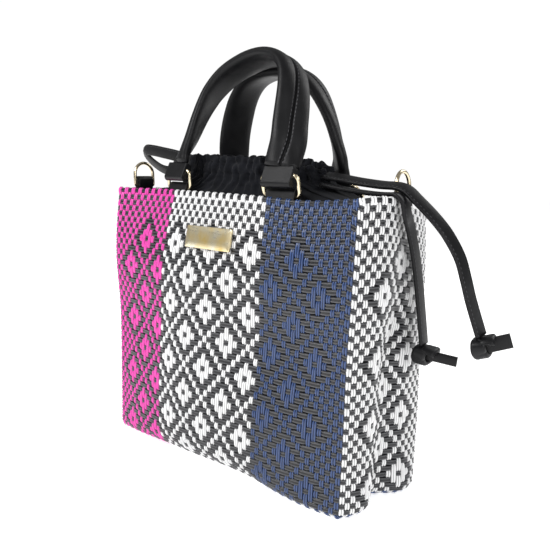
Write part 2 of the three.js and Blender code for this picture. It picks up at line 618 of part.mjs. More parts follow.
function knot({ name, centre, tail }) {
  const middle = new THREE.Vector3(...centre);
  const along = new THREE.Vector3(...tail).sub(middle).normalize();
  const wide = new THREE.Vector3().crossVectors(UP, along).normalize();
  const thick = new THREE.Vector3().crossVectors(along, wide);
  const sections = KNOT_SHAPE.map((row) => Array.from({ length: 8 }, (_, k) => {
    const angle = (2 * Math.PI * (k + 0.5)) / 8;
    return middle.clone().addScaledVector(along, row.along * KNOT_LENGTH)
      .addScaledVector(wide, row.wide * STRAP_WIDTH * Math.cos(angle))
      .addScaledVector(thick, row.thick * STRAP_WIDTH * Math.sin(angle));
  }));
  addMesh(name, new LoftGeometry(sections, { closed: true, capStart: true, capEnd: true }), 'leather');
}

wovenBody();
gatheredCollar();
const fastenings = RING_PLACES.map(handleFastening);
handle('front_handle', fastenings[0], fastenings[1], FRONT_ARCH, FRONT_LEAN);
handle('rear_handle', fastenings[2], fastenings[3], REAR_ARCH, REAR_LEAN);
D_RING_PLACES.forEach(dRing);
metalPlate();
strap('drawstring_upper_strand', UPPER_STRAND, 20);
strap('drawstring_lower_strand', LOWER_STRAND, 0);
strap('drawstring_left_loop', LEFT_LOOP, 90);
KNOTS.forEach(knot);

export default bag;
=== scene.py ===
"""Woven drawstring handbag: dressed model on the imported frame, in metres."""

import bpy
import numpy as np
from mathutils import Matrix


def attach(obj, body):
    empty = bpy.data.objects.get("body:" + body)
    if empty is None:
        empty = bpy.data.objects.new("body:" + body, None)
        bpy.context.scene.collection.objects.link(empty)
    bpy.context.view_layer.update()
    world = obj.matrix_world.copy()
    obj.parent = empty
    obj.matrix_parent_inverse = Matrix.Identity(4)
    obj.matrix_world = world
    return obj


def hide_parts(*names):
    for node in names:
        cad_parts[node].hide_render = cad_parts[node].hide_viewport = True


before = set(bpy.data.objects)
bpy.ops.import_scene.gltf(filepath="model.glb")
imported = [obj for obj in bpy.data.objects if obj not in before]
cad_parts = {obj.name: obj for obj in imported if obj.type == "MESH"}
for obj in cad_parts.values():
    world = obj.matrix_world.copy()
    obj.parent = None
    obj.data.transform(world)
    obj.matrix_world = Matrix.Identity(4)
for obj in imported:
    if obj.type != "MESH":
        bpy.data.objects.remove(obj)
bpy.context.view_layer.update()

bl_info = {
    "name": "Woven drawstring handbag",
    "version": (1, 0, 0),
    "blender": (4, 5, 0),
    "location": "View3D > Sidebar > Handbag",
    "description": "Builds a basket-woven handbag with leather handles, a gathered collar and a drawstring",
    "category": "Add Mesh",
}

MM = 0.001

# Body, in millimetres and shares, as in the part's source
BODY_WIDTH, BODY_DEPTH, BODY_HEIGHT, WALL, CORNER_ROUND = 280.0, 104.0, 242.0, 2.5, 6.0
LEVELS = np.array([0, 0.25, 0.5, 0.75, 1])
# columns: leftX, leftY, rightX, rightY, rearX, rearY
CORNERS = np.array([
    [-0.022, 0.03, -0.035, 0.12, -0.018, 0],
    [-0.011, 0.012, -0.014, 0.08, -0.014, 0.03],
    [0, -0.01, 0.003, 0.03, -0.005, -0.02],
    [0.025, -0.09, 0.029, -0.02, 0.007, -0.055],
    [0.022, -0.04, 0.02, 0.04, -0.009, -0.035],
])
# each panel: woven columns, outward direction, bow shares by level and place, rim drop and foot radius by place
PANELS = [
    dict(
        columns=63, out=(0, -1), at=(0.15, 0.4, 0.65, 0.87),
        bow=((0.08, 0.14, 0.095, 0.06), (0.075, 0.155, 0.11, 0.06), (0.035, 0.13, 0.03, -0.005),
             (0.025, 0.07, 0.045, 0), (-0.065, -0.015, 0.01, -0.03)),
        rim=((0, 0.65, 0.85, 1), (0.015, 0.0165, 0.0225, 0.008)),
        foot=((0, 0.1, 0.28, 0.5, 0.65, 0.8, 0.9, 1), (0.033, 0.058, 0.107, 0.124, 0.107, 0.058, 0.033, 0.025)),
    ),
    dict(
        columns=23, out=(1, 0), at=(0.25, 0.5, 0.75),
        bow=((0.09, -0.055, 0.085), (0.055, -0.02, 0.02), (0.08, -0.01, 0.055), (0.095, 0.07, 0.07), (0.13, 0.095, 0.07)),
        rim=((0, 0.2, 0.37, 0.55, 0.71, 1), (0.008, 0.0025, 0.0136, 0.029, 0.046, 0.071)),
        foot=((0, 0.25, 0.5, 0.75, 1), (0.025, 0.05, 0.058, 0.058, 0.033)),
    ),
    dict(
        columns=63, out=(0, 1), at=(0.25, 0.5, 0.75),
        bow=((0.05, 0.08, 0.05), (0.05, 0.08, 0.05), (0.04, 0.06, 0.04), (0, 0.02, 0), (-0.05, -0.08, -0.05)),
        rim=((0, 0.5, 1), (0.071, 0.03, 0.02)),
        foot=((0, 0.1, 0.3, 0.7, 0.9, 1), (0.033, 0.058, 0.099, 0.099, 0.058, 0.033)),
    ),
    dict(
        columns=23, out=(-1, 0), at=(0.25, 0.5, 0.75),
        bow=((0.085, -0.055, 0.09), (0.02, -0.02, 0.055), (0.055, -0.01, 0.08), (0.05, 0.04, 0.05), (0.05, 0.05, 0.06)),
        rim=((0, 0.5, 1), (0.02, 0.018, 0.015)),
        foot=((0, 0.5, 1), (0.033, 0.058, 0.033)),
    ),
]
COLUMNS, ROWS, STEPS = 172, 47, 4
FIRST = np.array([0, 63, 86, 149, 172])
STRIPE_EDGES = (18, 44, 63)

# Collar, as in the part's source
COLLAR_CENTRE, COLLAR_HALF, COLLAR_RISE = np.array([3.0, -5.0]), (80.0, 26.0), 27.0
COLLAR_INSET = 8.9
COLLAR_TOP = ((-1, -0.2, 0.55, 1), (1.05, 0.98, 0.9, 0.62))
# rows: share of the profile, width, depth, rise, blend from the wall to the oval
COLLAR_ROWS = np.array([
    [0.0, 1.0, 1.0, -24, 0], [0.28, 1.0, 1.0, -7, 0], [0.42, 1.19, 1.12, 0.07, 1],
    [0.62, 1.05, 1.03, 0.33, 1], [1.0, 1.0, 1.0, 1.0, 1],
])

# Handles: feet and their directions in millimetres, arch shares, lean
HANDLES = [
    dict(
        name="front_handle_leather", node="front_handle", lean=0.43,
        feet=((70.6453, -45.1219, 260.4281), (-55.3365, -41.7548, 262.0251)),
        rising=((-0.05071, 0.40356, 0.91355), (0.03161, 0.40551, 0.91355)),
        arch=((1, 0), (1, 0.08), (0.983, 0.213), (0.91, 0.386), (0.838, 0.562), (0.764, 0.706), (0.655, 0.839),
              (0.471, 0.942), (0.241, 0.995), (0.008, 1), (-0.26, 0.961), (-0.586, 0.854), (-0.795, 0.697),
              (-0.874, 0.56), (-0.913, 0.429), (-0.943, 0.231), (-1, 0.08), (-1, 0)),
    ),
    dict(
        name="rear_handle_leather", node="rear_handle", lean=-0.07,
        feet=((68.5287, 24.7984, 253.1007), (-62.8981, 27.2579, 258.1319)),
        rising=((-0.00102, 0.03488, 0.99939), (-0.0024, -0.03482, 0.99939)),
        arch=((1, 0), (1, 0.08), (1.01, 0.16), (0.955, 0.331), (0.895, 0.468), (0.811, 0.606), (0.677, 0.764),
              (0.506, 0.879), (0.289, 0.95), (0.023, 0.965), (-0.246, 0.948), (-0.462, 0.9), (-0.62, 0.82),
              (-0.746, 0.708), (-0.834, 0.583), (-0.92, 0.415), (-0.968, 0.269), (-1, 0.08), (-1, 0)),
    ),
]
HANDLE_RISE = 87.5
HANDLE_TURN = ((0, 0.06, 0.2, 0.35, 0.5, 0.65, 0.8, 0.94, 1), (22, 40, 60, 80, 86, 80, 60, 40, 22))

# Hardware places: origin and the axes along the bar and up, in millimetres
FASTENINGS = [
    dict(name="front_right", pos=(70.45202, -43.58381, 238.1777), along=(0.9922, 0.12468, 0), tab=(-0.02595, 0.20652, 0.9781),
         ring=(0.03016, -0.24003, 0.9703), loop=(-0.05071, 0.40356, 0.91355), drop=26, play=6.4),
    dict(name="front_left", pos=(-55.39758, -42.53792, 239.36287), along=(0.99698, -0.07772, 0), tab=(0.02389, 0.30647, 0.95158),
         ring=(-0.00812, -0.10421, 0.99452), loop=(0.03161, 0.40551, 0.91355), drop=26, play=6.4),
    dict(name="rear_right", pos=(68.16409, 37.2067, 235.42938), along=(-0.99957, -0.02937, 0), tab=(0.00163, -0.05532, 0.99847),
         ring=(0.02182, -0.74282, 0.66913), loop=(-0.00102, 0.03488, 0.99939), drop=29, play=1),
    dict(name="rear_left", pos=(-62.10002, 38.82551, 239.2022), along=(-0.99763, 0.06883, 0), tab=(-0.00583, -0.08453, 0.9964),
         ring=(-0.04606, -0.66754, 0.74314), loop=(-0.0024, -0.03482, 0.99939), drop=27, play=1),
]
D_RINGS = [
    dict(name="right", pos=(143.31775, 8.00626, 237.97323), along=(-0.15536, 0.98786, 0), up=(-0.05582, -0.00878, 0.9984), drop=28.5),
    dict(name="left", pos=(-132.94123, -26.00392, 240.73317), along=(0.04298, -0.99908, 0), up=(-0.06338, -0.00273, 0.99799), drop=26.5),
]
PLATE = dict(pos=(7.27001, -63.02461, 203.2636), along=(0.99962, 0.02742, 0), up=(-0.00516, 0.18822, 0.98211))

# Drawstring routes in millimetres, the turn of each strap's section in degrees
STRANDS = [
    dict(name="drawstring_upper_leather", node="drawstring_upper_strand", turn=20, knot="upper_knot_leather", route=(
        (86.5, -13, 254.7), (102.6, -12.5, 253), (119.2, -12, 250.9), (138, -11, 249.2), (152, -10.3, 248.6),
        (159.5, -10, 246.2), (167.5, -10, 240.2), (177.5, -9, 231.8), (184.8, -7.5, 224.4), (189.9, -5, 217.2),
        (196.8, 0.5, 201.8), (200.3, 4, 186.8), (202.5, 8, 172.6), (206.6, 17.9, 146.5))),
    dict(name="drawstring_lower_leather", node="drawstring_lower_strand", turn=0, knot="lower_knot_leather", route=(
        (88, -17, 247.8), (102.6, -17, 246), (119.2, -17, 244.2), (138, -17.2, 243), (149, -17.4, 243),
        (156.3, -17.2, 243), (161.8, -16.4, 238.4), (163, -15, 230), (161.6, -9, 222), (161.6, -1.5, 204),
        (161.6, 5, 181.7), (161.8, 10, 159.1), (162, 15.5, 132.5))),
    dict(name="drawstring_loop_leather", node="drawstring_left_loop", turn=90, knot=None, route=(
        (-74.6, -14, 264.8), (-85, -14.5, 267), (-97.5, -15, 269.2), (-118, -14.5, 272), (-138, -13, 274.3),
        (-148, -12, 274.5), (-152.5, -10.5, 271.5), (-147, -8.5, 265), (-132, -5, 256.5), (-120, -2, 254.5),
        (-105, 2, 254), (-90, 5, 255.8), (-79.6, 5.6, 256.6))),
]
KNOTS = [
    dict(name="upper_knot_leather", node="upper_knot", centre=(207.6, 20, 138.8), tail=(219, 26, 143), reach=19.5, width=10.5),
    dict(name="lower_knot_leather", node="lower_knot", centre=(162.4, 17, 124.6), tail=(182, 24, 122.2), reach=24.0, width=7.5),
]


class HandbagSizes(bpy.types.PropertyGroup):
    """Sizes of the dressed details"""
    strip_thickness: bpy.props.FloatProperty(
        name="Strip thickness", description="Thickness of one woven strip", default=0.0011, unit="LENGTH")
    strip_lift: bpy.props.FloatProperty(
        name="Strip lift", description="Height of a strip over or under the weave's middle", default=0.00055, unit="LENGTH")
    strip_fill: bpy.props.FloatProperty(
        name="Strip fill", description="Width of a strip as a share of its column or row", default=0.95, subtype="FACTOR")
    handle_width: bpy.props.FloatProperty(
        name="Handle width", description="Width of the rolled handle strap", default=0.028, unit="LENGTH")
    handle_thickness: bpy.props.FloatProperty(
        name="Handle thickness", description="Thickness of the rolled handle strap", default=0.011, unit="LENGTH")
    strap_width: bpy.props.FloatProperty(
        name="Drawstring width", description="Width of the flat drawstring", default=0.0105, unit="LENGTH")
    strap_thickness: bpy.props.FloatProperty(
        name="Drawstring thickness", description="Thickness of the flat drawstring", default=0.003, unit="LENGTH")
    wire: bpy.props.FloatProperty(
        name="Ring wire", description="Diameter of the rings' wire", default=0.003, unit="LENGTH")
    gather: bpy.props.FloatProperty(
        name="Gather depth", description="Depth of the collar's gathers", default=0.0021, unit="LENGTH")


def colour_property(name, text, value):
    return bpy.props.FloatVectorProperty(name=name, description=text, default=value, size=3, min=0, max=1, subtype="COLOR")


class HandbagColours(bpy.types.PropertyGroup):
    """Colours of the strips, leather and metal"""
    pink: colour_property("Pink strips", "Colour of the pink stripe", (0.80, 0.055, 0.40))
    white: colour_property("White strips", "Colour of the white stripe and side strips", (0.82, 0.82, 0.825))
    navy: colour_property("Navy strips", "Colour of the navy stripe", (0.012, 0.035, 0.115))
    charcoal: colour_property("Charcoal strips", "Colour of the crosswise strips", (0.010, 0.0105, 0.0135))
    leather: colour_property("Leather", "Colour of the handles and the drawstring", (0.0045, 0.0045, 0.0052))
    cloth: colour_property("Collar cloth", "Colour of the gathered collar", (0.0035, 0.0038, 0.0052))
    gold: colour_property("Rings", "Colour of the metal rings", (0.86, 0.74, 0.52))
    plate: colour_property("Plate", "Colour of the blank plate", (0.82, 0.60, 0.20))


# ---------------------------------------------------------------- shader helper
class Wire:
    """A shader value that takes +, -, *, / and ** with numbers and other values"""

    def __init__(self, finish, socket):
        self.finish, self.socket = finish, socket

    def maths(self, operation, first, second):
        return self.finish.add("ShaderNodeMath", {"operation": operation}, **{"0": first, "1": second})

    def __add__(self, other):
        return self.maths("ADD", self, other)

    def __radd__(self, other):
        return self.maths("ADD", other, self)

    def __sub__(self, other):
        return self.maths("SUBTRACT", self, other)

    def __rsub__(self, other):
        return self.maths("SUBTRACT", other, self)

    def __mul__(self, other):
        return self.maths("MULTIPLY", self, other)

    def __rmul__(self, other):
        return self.maths("MULTIPLY", other, self)

    def __truediv__(self, other):
        return self.maths("DIVIDE", self, other)

    def __pow__(self, other):
        return self.maths("POWER", self, other)


class Finish:
    """A material whose nodes are added one by one"""

    def __init__(self, name):
        self.material = bpy.data.materials.new(name)
        self.material.use_nodes = True
        self.tree = self.material.node_tree
        self.shader = self.tree.nodes["Principled BSDF"]

    def add(self, kind, settings=None, output=0, **sockets):
        """Adds a node, its settings first, then its sockets by name or index, and gives one output"""
        made = self.tree.nodes.new(kind)
        for key, value in (settings or {}).items():
            if key == "stops":
                ramp = made.color_ramp
                for index, (place, colour) in enumerate(value):
                    stop = ramp.elements[index] if index < 2 else ramp.elements.new(place)
                    stop.position, stop.color = place, (*colour, 1)
            else:
                setattr(made, key, value)
        for key, value in sockets.items():
            socket = made.inputs[int(key)] if key.isdigit() else made.inputs[key.replace("_", " ")]
            self.feed(socket, value)
        return Wire(self, made.outputs[output])

    def feed(self, socket, value):
        if isinstance(value, Wire):
            self.tree.links.new(value.socket, socket)
        else:
            socket.default_value = value

    def mix(self, share, first, second):
        """Blend of two colours by a share"""
        made = self.tree.nodes.new("ShaderNodeMix")
        made.data_type = "RGBA"
        for index, value in ((0, share), (6, first), (7, second)):
            self.feed(made.inputs[index], (*value, 1) if isinstance(value, tuple) and len(value) == 3 else value)
        return Wire(self, made.outputs[2])

    def noise(self, vector, scale, detail=2.0, rough=0.5):
        return self.add("ShaderNodeTexNoise", None, 0, Vector=vector, Scale=scale, Detail=detail, Roughness=rough)

    def spread(self, value, low, high, start=0.0, end=1.0):
        return self.add("ShaderNodeMapRange", None, 0, Value=value, From_Min=start, From_Max=end, To_Min=low, To_Max=high)

    def bump(self, height, distance, strength=1.0, under=None):
        sockets = {"Height": height, "Distance": distance, "Strength": strength}
        if under is not None:
            sockets["Normal"] = under
        return self.add("ShaderNodeBump", None, 0, **sockets)

    def set(self, **values):
        for key, value in values.items():
            socket = self.shader.inputs[key.replace("_", " ")]
            if isinstance(value, tuple) and len(value) == 3:
                value = (*value, 1)
            self.feed(socket, value)
        return self.material


def colours():
    return bpy.context.scene.handbag_colours


def sizes():
    return bpy.context.scene.handbag_sizes


def strip_finish(name, colour, rough, shade, painted_ridge_highlight):
    """Semi-gloss plastic strip: fine lengthwise streaks, tint by strip, painted shade at the strip's edges and in its
    middle groove, and a painted highlight along its two ridges
    """
    if name in bpy.data.materials:
        return bpy.data.materials[name]
    made = Finish(name)
    place = made.add("ShaderNodeUVMap", {"uv_map": "strip"})
    split = made.tree.nodes.new("ShaderNodeSeparateXYZ")
    made.feed(split.inputs[0], place)
    across, along = Wire(made, split.outputs[0]), Wire(made, split.outputs[1])
    stretched = made.add("ShaderNodeCombineXYZ", None, 0, X=across * 9.0, Y=along * 0.25, Z=0.0)
    streak = made.noise(stretched, 3.0, 3.0)
    tint = made.noise(made.add("ShaderNodeCombineXYZ", None, 0, X=along * 0.06, Y=0.0, Z=0.0), 4.0, 1.0)
    edge = made.add("ShaderNodeMath", {"operation": "ABSOLUTE"}, **{"0": across - 0.5}) * 2.0
    # painted shade mask: the middle groove between the two ridges
    groove = made.spread(edge, 1.0, 0.0, 0.04, 0.26)
    # painted highlight mask: the crests of the two ridges
    ridge = made.spread(made.add("ShaderNodeMath", {"operation": "ABSOLUTE"}, **{"0": edge - 0.52}), 1.0, 0.0, 0.03, 0.24)
    # painted shade mask: the strip's edges, where it meets its neighbours
    edge = made.spread(edge, 0.0, 1.0, 0.62, 1.0)
    light = tuple(min(1.0, c * (1 + shade)) for c in colour)
    dark = tuple(c * (1 - shade) for c in colour)
    base = made.mix(made.spread(streak * 0.55 + tint * 0.45, 0.0, 1.0, 0.3, 0.7), dark, light)
    # painted shade at the edges, then painted shade in the groove, then a painted highlight on the ridges
    base = made.mix(edge * 0.75, base, tuple(c * 0.3 for c in colour))
    base = made.mix(groove * 0.85, base, tuple(c * 0.2 for c in colour))
    base = made.mix(ridge * painted_ridge_highlight, base, tuple(min(1.0, c * 2.2 + 0.075) for c in colour))
    fine = made.noise(made.add("ShaderNodeCombineXYZ", None, 0, X=across * 16.0, Y=along * 0.4, Z=0.0), 2.0, 2.0)
    return made.set(
        Base_Color=base, Roughness=made.spread(streak, rough - 0.06, rough + 0.10, 0.3, 0.7),
        Normal=made.bump(fine, 0.00012, 0.5), Specular_IOR_Level=0.42, Coat_Weight=0.08, Coat_Roughness=0.2)


def leather_finish(name, rough=0.42, worn=0.5):
    """Black smooth leather: fine pebble grain, soft creases and a paler sheen in worn patches"""
    if name in bpy.data.materials:
        return bpy.data.materials[name]
    made = Finish(name)
    place = made.add("ShaderNodeTexCoord", None, 3)
    grain = made.add("ShaderNodeTexVoronoi", {"feature": "SMOOTH_F1"}, 0, Vector=place, Scale=1300.0, Smoothness=0.6)
    pores = made.noise(place, 2600.0, 2.0)
    cloud = made.noise(place, 60.0, 3.0)
    crease = made.noise(place, 240.0, 3.0, 0.6)
    colour = tuple(colours().leather)
    pale = tuple(c * 2.1 + 0.001 for c in colour)
    base = made.mix(made.spread(cloud, 0.0, worn, 0.35, 0.75), colour, pale)
    height = made.bump(crease, 0.0004, 0.25)
    height = made.bump(grain * 0.7 + pores * 0.3, 0.00012, 0.45, height)
    return made.set(
        Base_Color=base, Roughness=made.spread(cloud * 0.6 + grain * 0.4, rough - 0.08, rough + 0.12, 0.3, 0.7),
        Normal=height, Specular_IOR_Level=0.22)


def cloth_finish(name):
    """Matt black cloth: crossed fine threads, soft fuzz and a faint sheen"""
    made = Finish(name)
    place = made.add("ShaderNodeTexCoord", None, 3)
    threads = made.add("ShaderNodeTexWave", {"bands_direction": "Z"}, 1, Vector=place, Scale=900.0, Distortion=1.5, Detail=1.0)
    fuzz = made.noise(place, 1400.0, 3.0)
    cloud = made.noise(place, 90.0, 2.0)
    colour = tuple(colours().cloth)
    base = made.mix(made.spread(cloud * 0.5 + fuzz * 0.5, 0.0, 1.0, 0.35, 0.65), colour, tuple(c * 2.6 for c in colour))
    return made.set(
        Base_Color=base, Roughness=made.spread(fuzz, 0.82, 0.98, 0.3, 0.7),
        Normal=made.bump(threads * 0.35 + fuzz * 0.65, 0.0002, 0.5), Specular_IOR_Level=0.15,
        Sheen_Weight=0.04, Sheen_Roughness=0.5)


def metal_finish(name, colour, rough, cloud_scale, other=None):
    """Polished warm metal with faint brushing, fine scratches and soft clouds of a second colour: by default a darker
    tone of the metal itself; a pale second colour, as on the plate, is painted reflection
    """
    if name in bpy.data.materials:
        return bpy.data.materials[name]
    made = Finish(name)
    place = made.add("ShaderNodeTexCoord", None, 3)
    cloud = made.noise(place, cloud_scale, 3.0)
    scratch = made.noise(made.add("ShaderNodeMapping", None, 0, Vector=place, Scale=(120.0, 120.0, 2600.0)), 1.0, 2.0)
    # clouds toward the second colour: the darker default is the metal's own tone, a pale one is painted reflection
    base = made.mix(made.spread(cloud, 0.0, 1.0, 0.35, 0.68), other or tuple(c * 0.82 for c in colour), colour)
    return made.set(
        Base_Color=base, Metallic=1.0, Roughness=made.spread(cloud * 0.6 + scratch * 0.4, rough, rough + 0.14, 0.3, 0.7),
        Normal=made.bump(scratch, 0.00004, 0.3))


def thread_finish(name, colour):
    made = Finish(name)
    place = made.add("ShaderNodeTexCoord", None, 3)
    twist = made.noise(place, 2200.0, 2.0)
    base = made.mix(twist, tuple(c * 0.7 for c in colour), tuple(c * 1.5 for c in colour))
    return made.set(Base_Color=base, Roughness=made.spread(twist, 0.55, 0.75), Normal=made.bump(twist, 0.0001, 0.5))


# ---------------------------------------------------------------- geometry helpers
def smooth_between(knots, values, x):
    """Cubic through the values at the knots, whose slope at a knot is the weighted mean of its two neighbours'"""
    knots = np.asarray(knots, float)
    values = np.asarray(values, float)
    table = values[:, None] if values.ndim == 1 else values
    steps = np.diff(knots)[:, None]
    slopes = np.diff(table, axis=0) / steps
    tangents = np.empty_like(table)
    tangents[1:-1] = (slopes[1:] * steps[:-1] + slopes[:-1] * steps[1:]) / (steps[1:] + steps[:-1])
    tangents[0] = 1.5 * slopes[0] - 0.5 * tangents[1]
    tangents[-1] = 1.5 * slopes[-1] - 0.5 * tangents[-2]
    x = np.asarray(x, float)
    k = np.clip(np.searchsorted(knots, x.ravel(), side="right") - 1, 0, len(knots) - 2)
    span = steps[k]
    t = (x.ravel() - knots[k])[:, None] / span
    result = ((2 * t**3 - 3 * t**2 + 1) * table[k] + (t**3 - 2 * t**2 + t) * span * tangents[k]
              + (3 * t**2 - 2 * t**3) * table[k + 1] + (t**3 - t**2) * span * tangents[k + 1])
    return result.reshape(x.shape) if values.ndim == 1 else result.reshape(*x.shape, table.shape[1])


def unit(vectors):
    return vectors / np.maximum(np.linalg.norm(vectors, axis=-1, keepdims=True), 1e-12)


def through(points, count):
    """Centripetal curve through points: on each span a cubic whose end slopes weigh the neighbouring chords by the
    square root of their lengths; read at count even steps of its length"""
    p = np.asarray(points, float)
    p = np.vstack([2 * p[0] - p[1], p, 2 * p[-1] - p[-2]])
    chord = np.sqrt(np.linalg.norm(np.diff(p, axis=0), axis=1))[:, None]
    before, here, after = chord[:-2], chord[1:-1], chord[2:]
    x0, x1, x2, x3 = p[:-3], p[1:-2], p[2:-1], p[3:]
    start = ((x1 - x0) / before - (x2 - x0) / (before + here) + (x2 - x1) / here) * here
    end = ((x2 - x1) / here - (x3 - x1) / (here + after) + (x3 - x2) / after) * here
    t = np.linspace(0, 1, 24, endpoint=False)[None, :, None]
    x1, x2, start, end = (a[:, None, :] for a in (x1, x2, start, end))
    fine = x1 + start * t + (3 * (x2 - x1) - 2 * start - end) * t**2 + (2 * (x1 - x2) + start + end) * t**3
    fine = np.vstack([fine.reshape(-1, 3), p[-2]])
    length = np.concatenate([[0], np.cumsum(np.linalg.norm(np.diff(fine, axis=0), axis=1))])
    even = np.linspace(0, length[-1], count)
    return np.stack([np.interp(even, length, fine[:, axis]) for axis in range(3)], 1)


def tangents_of(line):
    return unit(np.gradient(line, axis=0))


def grid_quads(rows, columns, wrap_rows=False, wrap_columns=False, start=0):
    """Quads of a grid of rows by columns, numbered row by row from start"""
    r = np.arange(rows if wrap_rows else rows - 1)
    c = np.arange(columns if wrap_columns else columns - 1)
    r, c = np.meshgrid(r, c, indexing="ij")
    r2, c2 = (r + 1) % rows, (c + 1) % columns
    return start + np.stack([r * columns + c, r * columns + c2, r2 * columns + c2, r2 * columns + c], -1).reshape(-1, 4)


def new_piece(name, points, faces, finish, nodes=(), body="bag", uv=None, smooth=True):
    """Puts points and faces into a mesh, lets it ride on a body and stand for its nodes"""
    mesh = bpy.data.meshes.new(name)
    points = np.asarray(points, float).reshape(-1, 3)
    faces = [row for block in (faces if isinstance(faces, list) else [faces]) for row in np.asarray(block).tolist()]
    mesh.from_pydata(points.tolist(), [], faces)
    mesh.polygons.foreach_set("use_smooth", np.full(len(mesh.polygons), smooth))
    if uv is not None:
        layer = mesh.uv_layers.new(name="strip")
        corner = np.empty(len(mesh.loops), np.int32)
        mesh.loops.foreach_get("vertex_index", corner)
        layer.data.foreach_set("uv", np.asarray(uv, np.float32).reshape(-1, 2)[corner].ravel())
    mesh.materials.append(finish)
    mesh.update()
    piece = bpy.data.objects.new(name, mesh)
    bpy.context.scene.collection.objects.link(piece)
    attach(piece, body)
    if nodes:
        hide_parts(*nodes)
    return piece


def swept(line, wide, face, section):
    """Tube whose section (across, out) is set at each point of a line along its wide and face directions, with flat
    ends: returns its points and faces"""
    section = np.asarray(section, float)
    points = (line[:, None, :] + section[None, :, :1] * wide[:, None, :] + section[None, :, 1:] * face[:, None, :])
    count, around = points.shape[:2]
    quads = grid_quads(count, around, wrap_columns=True)
    first = np.arange(around)[::-1][None]
    last = (np.arange(around) + (count - 1) * around)[None]
    return points.reshape(-1, 3), [quads, first, last]


def outward(section_faces, points):
    """Turns every face over when the closed shape's signed volume comes out negative"""
    volume = 0.0
    for block in section_faces:
        corners = points[np.asarray(block)]
        a = corners[:, :1]
        b, c = corners[:, 1:-1], corners[:, 2:]
        volume += np.einsum("nij,nij->", np.broadcast_to(a, b.shape), np.cross(b, c))
    if volume < 0:
        return [np.asarray(block)[:, ::-1] for block in section_faces]
    return section_faces


def joined(parts):
    """Joins lists of (points, faces) into one"""
    points, faces, start = [], [], 0
    for some, blocks in parts:
        points.append(some)
        faces += [np.asarray(block) + start for block in blocks]
        start += len(some)
    return np.vstack(points), faces


def rounded_section(width, thickness, corner, steps=5):
    """Rounded rectangle (across, out), counterclockwise"""
    turn = np.linspace(0, np.pi / 2, steps)
    arc = np.stack([np.cos(turn), np.sin(turn)], 1) * corner
    parts = []
    for quarter, (x, y) in enumerate(((1, 1), (-1, 1), (-1, -1), (1, -1))):
        c, s = np.cos(quarter * np.pi / 2), np.sin(quarter * np.pi / 2)
        turned = arc @ np.array([[c, s], [-s, c]])
        parts.append(turned + (x * (width / 2 - corner), y * (thickness / 2 - corner)))
    return np.vstack(parts)


def stitch_row(line, out, along, length, gap, width, height):
    """Row of stitches: small domed lozenges along a line, each a 3 by 5 grid that sinks into the leather at its rim"""
    reach = np.concatenate([[0], np.cumsum(np.linalg.norm(np.diff(line, axis=0), axis=1))])
    starts = np.arange(gap, reach[-1] - length - gap, length + gap)
    u = np.linspace(0, 1, 5)
    v = np.array([-1.0, 0.0, 1.0])
    at = starts[:, None] + u[None, :] * length
    pick = lambda field: np.stack([np.interp(at.ravel(), reach, field[:, k]) for k in range(3)], 1).reshape(*at.shape, 3)
    centre, up, ahead = pick(line), unit(pick(out)), unit(pick(along))
    side = unit(np.cross(up, ahead))
    dome = np.sin(np.pi * u)
    high = (np.minimum(1, 1.6 * dome)[:, None] * (1 - v**2)[None, :] * 1.5 - 0.5) * height
    across = (0.45 + 0.55 * np.minimum(1, 1.6 * dome))[:, None] * v[None, :] * width / 2
    points = centre[:, :, None, :] + side[:, :, None, :] * across[None, :, :, None] + up[:, :, None, :] * high[None, :, :, None]
    quads = np.concatenate([grid_quads(5, 3, start=15 * k) for k in range(len(starts))])
    return points.reshape(-1, 3), [quads[:, ::-1]]


# ---------------------------------------------------------------- body surface
def corner_points(level):
    c = smooth_between(LEVELS, CORNERS, level)
    w, d = BODY_WIDTH / 2, BODY_DEPTH / 2
    return [
        np.stack([-w + c[:, 0] * BODY_WIDTH, -d + c[:, 1] * BODY_DEPTH], 1),
        np.stack([w + c[:, 2] * BODY_WIDTH, -d + c[:, 3] * BODY_DEPTH], 1),
        np.stack([w + c[:, 4] * BODY_WIDTH, d + c[:, 5] * BODY_DEPTH], 1),
        np.stack([-w + c[:, 0] * BODY_WIDTH, np.full(len(level), d)], 1),
    ]


def panel_points(index, share, level):
    """Panel's outline at each level: the line between its corners, bowed outward by its table"""
    panel = PANELS[index]
    corners = corner_points(level)
    start, end = corners[index], corners[(index + 1) % 4]
    bow = smooth_between(LEVELS, np.array(panel["bow"]), level) * BODY_DEPTH
    places = (0, *panel["at"], 1)
    weights = smooth_between(places, np.eye(len(places))[:, 1:-1], share)
    line = start[:, None] + share[None, :, None] * (end - start)[:, None]
    return line + (bow @ weights.T)[:, :, None] * np.array(panel["out"])


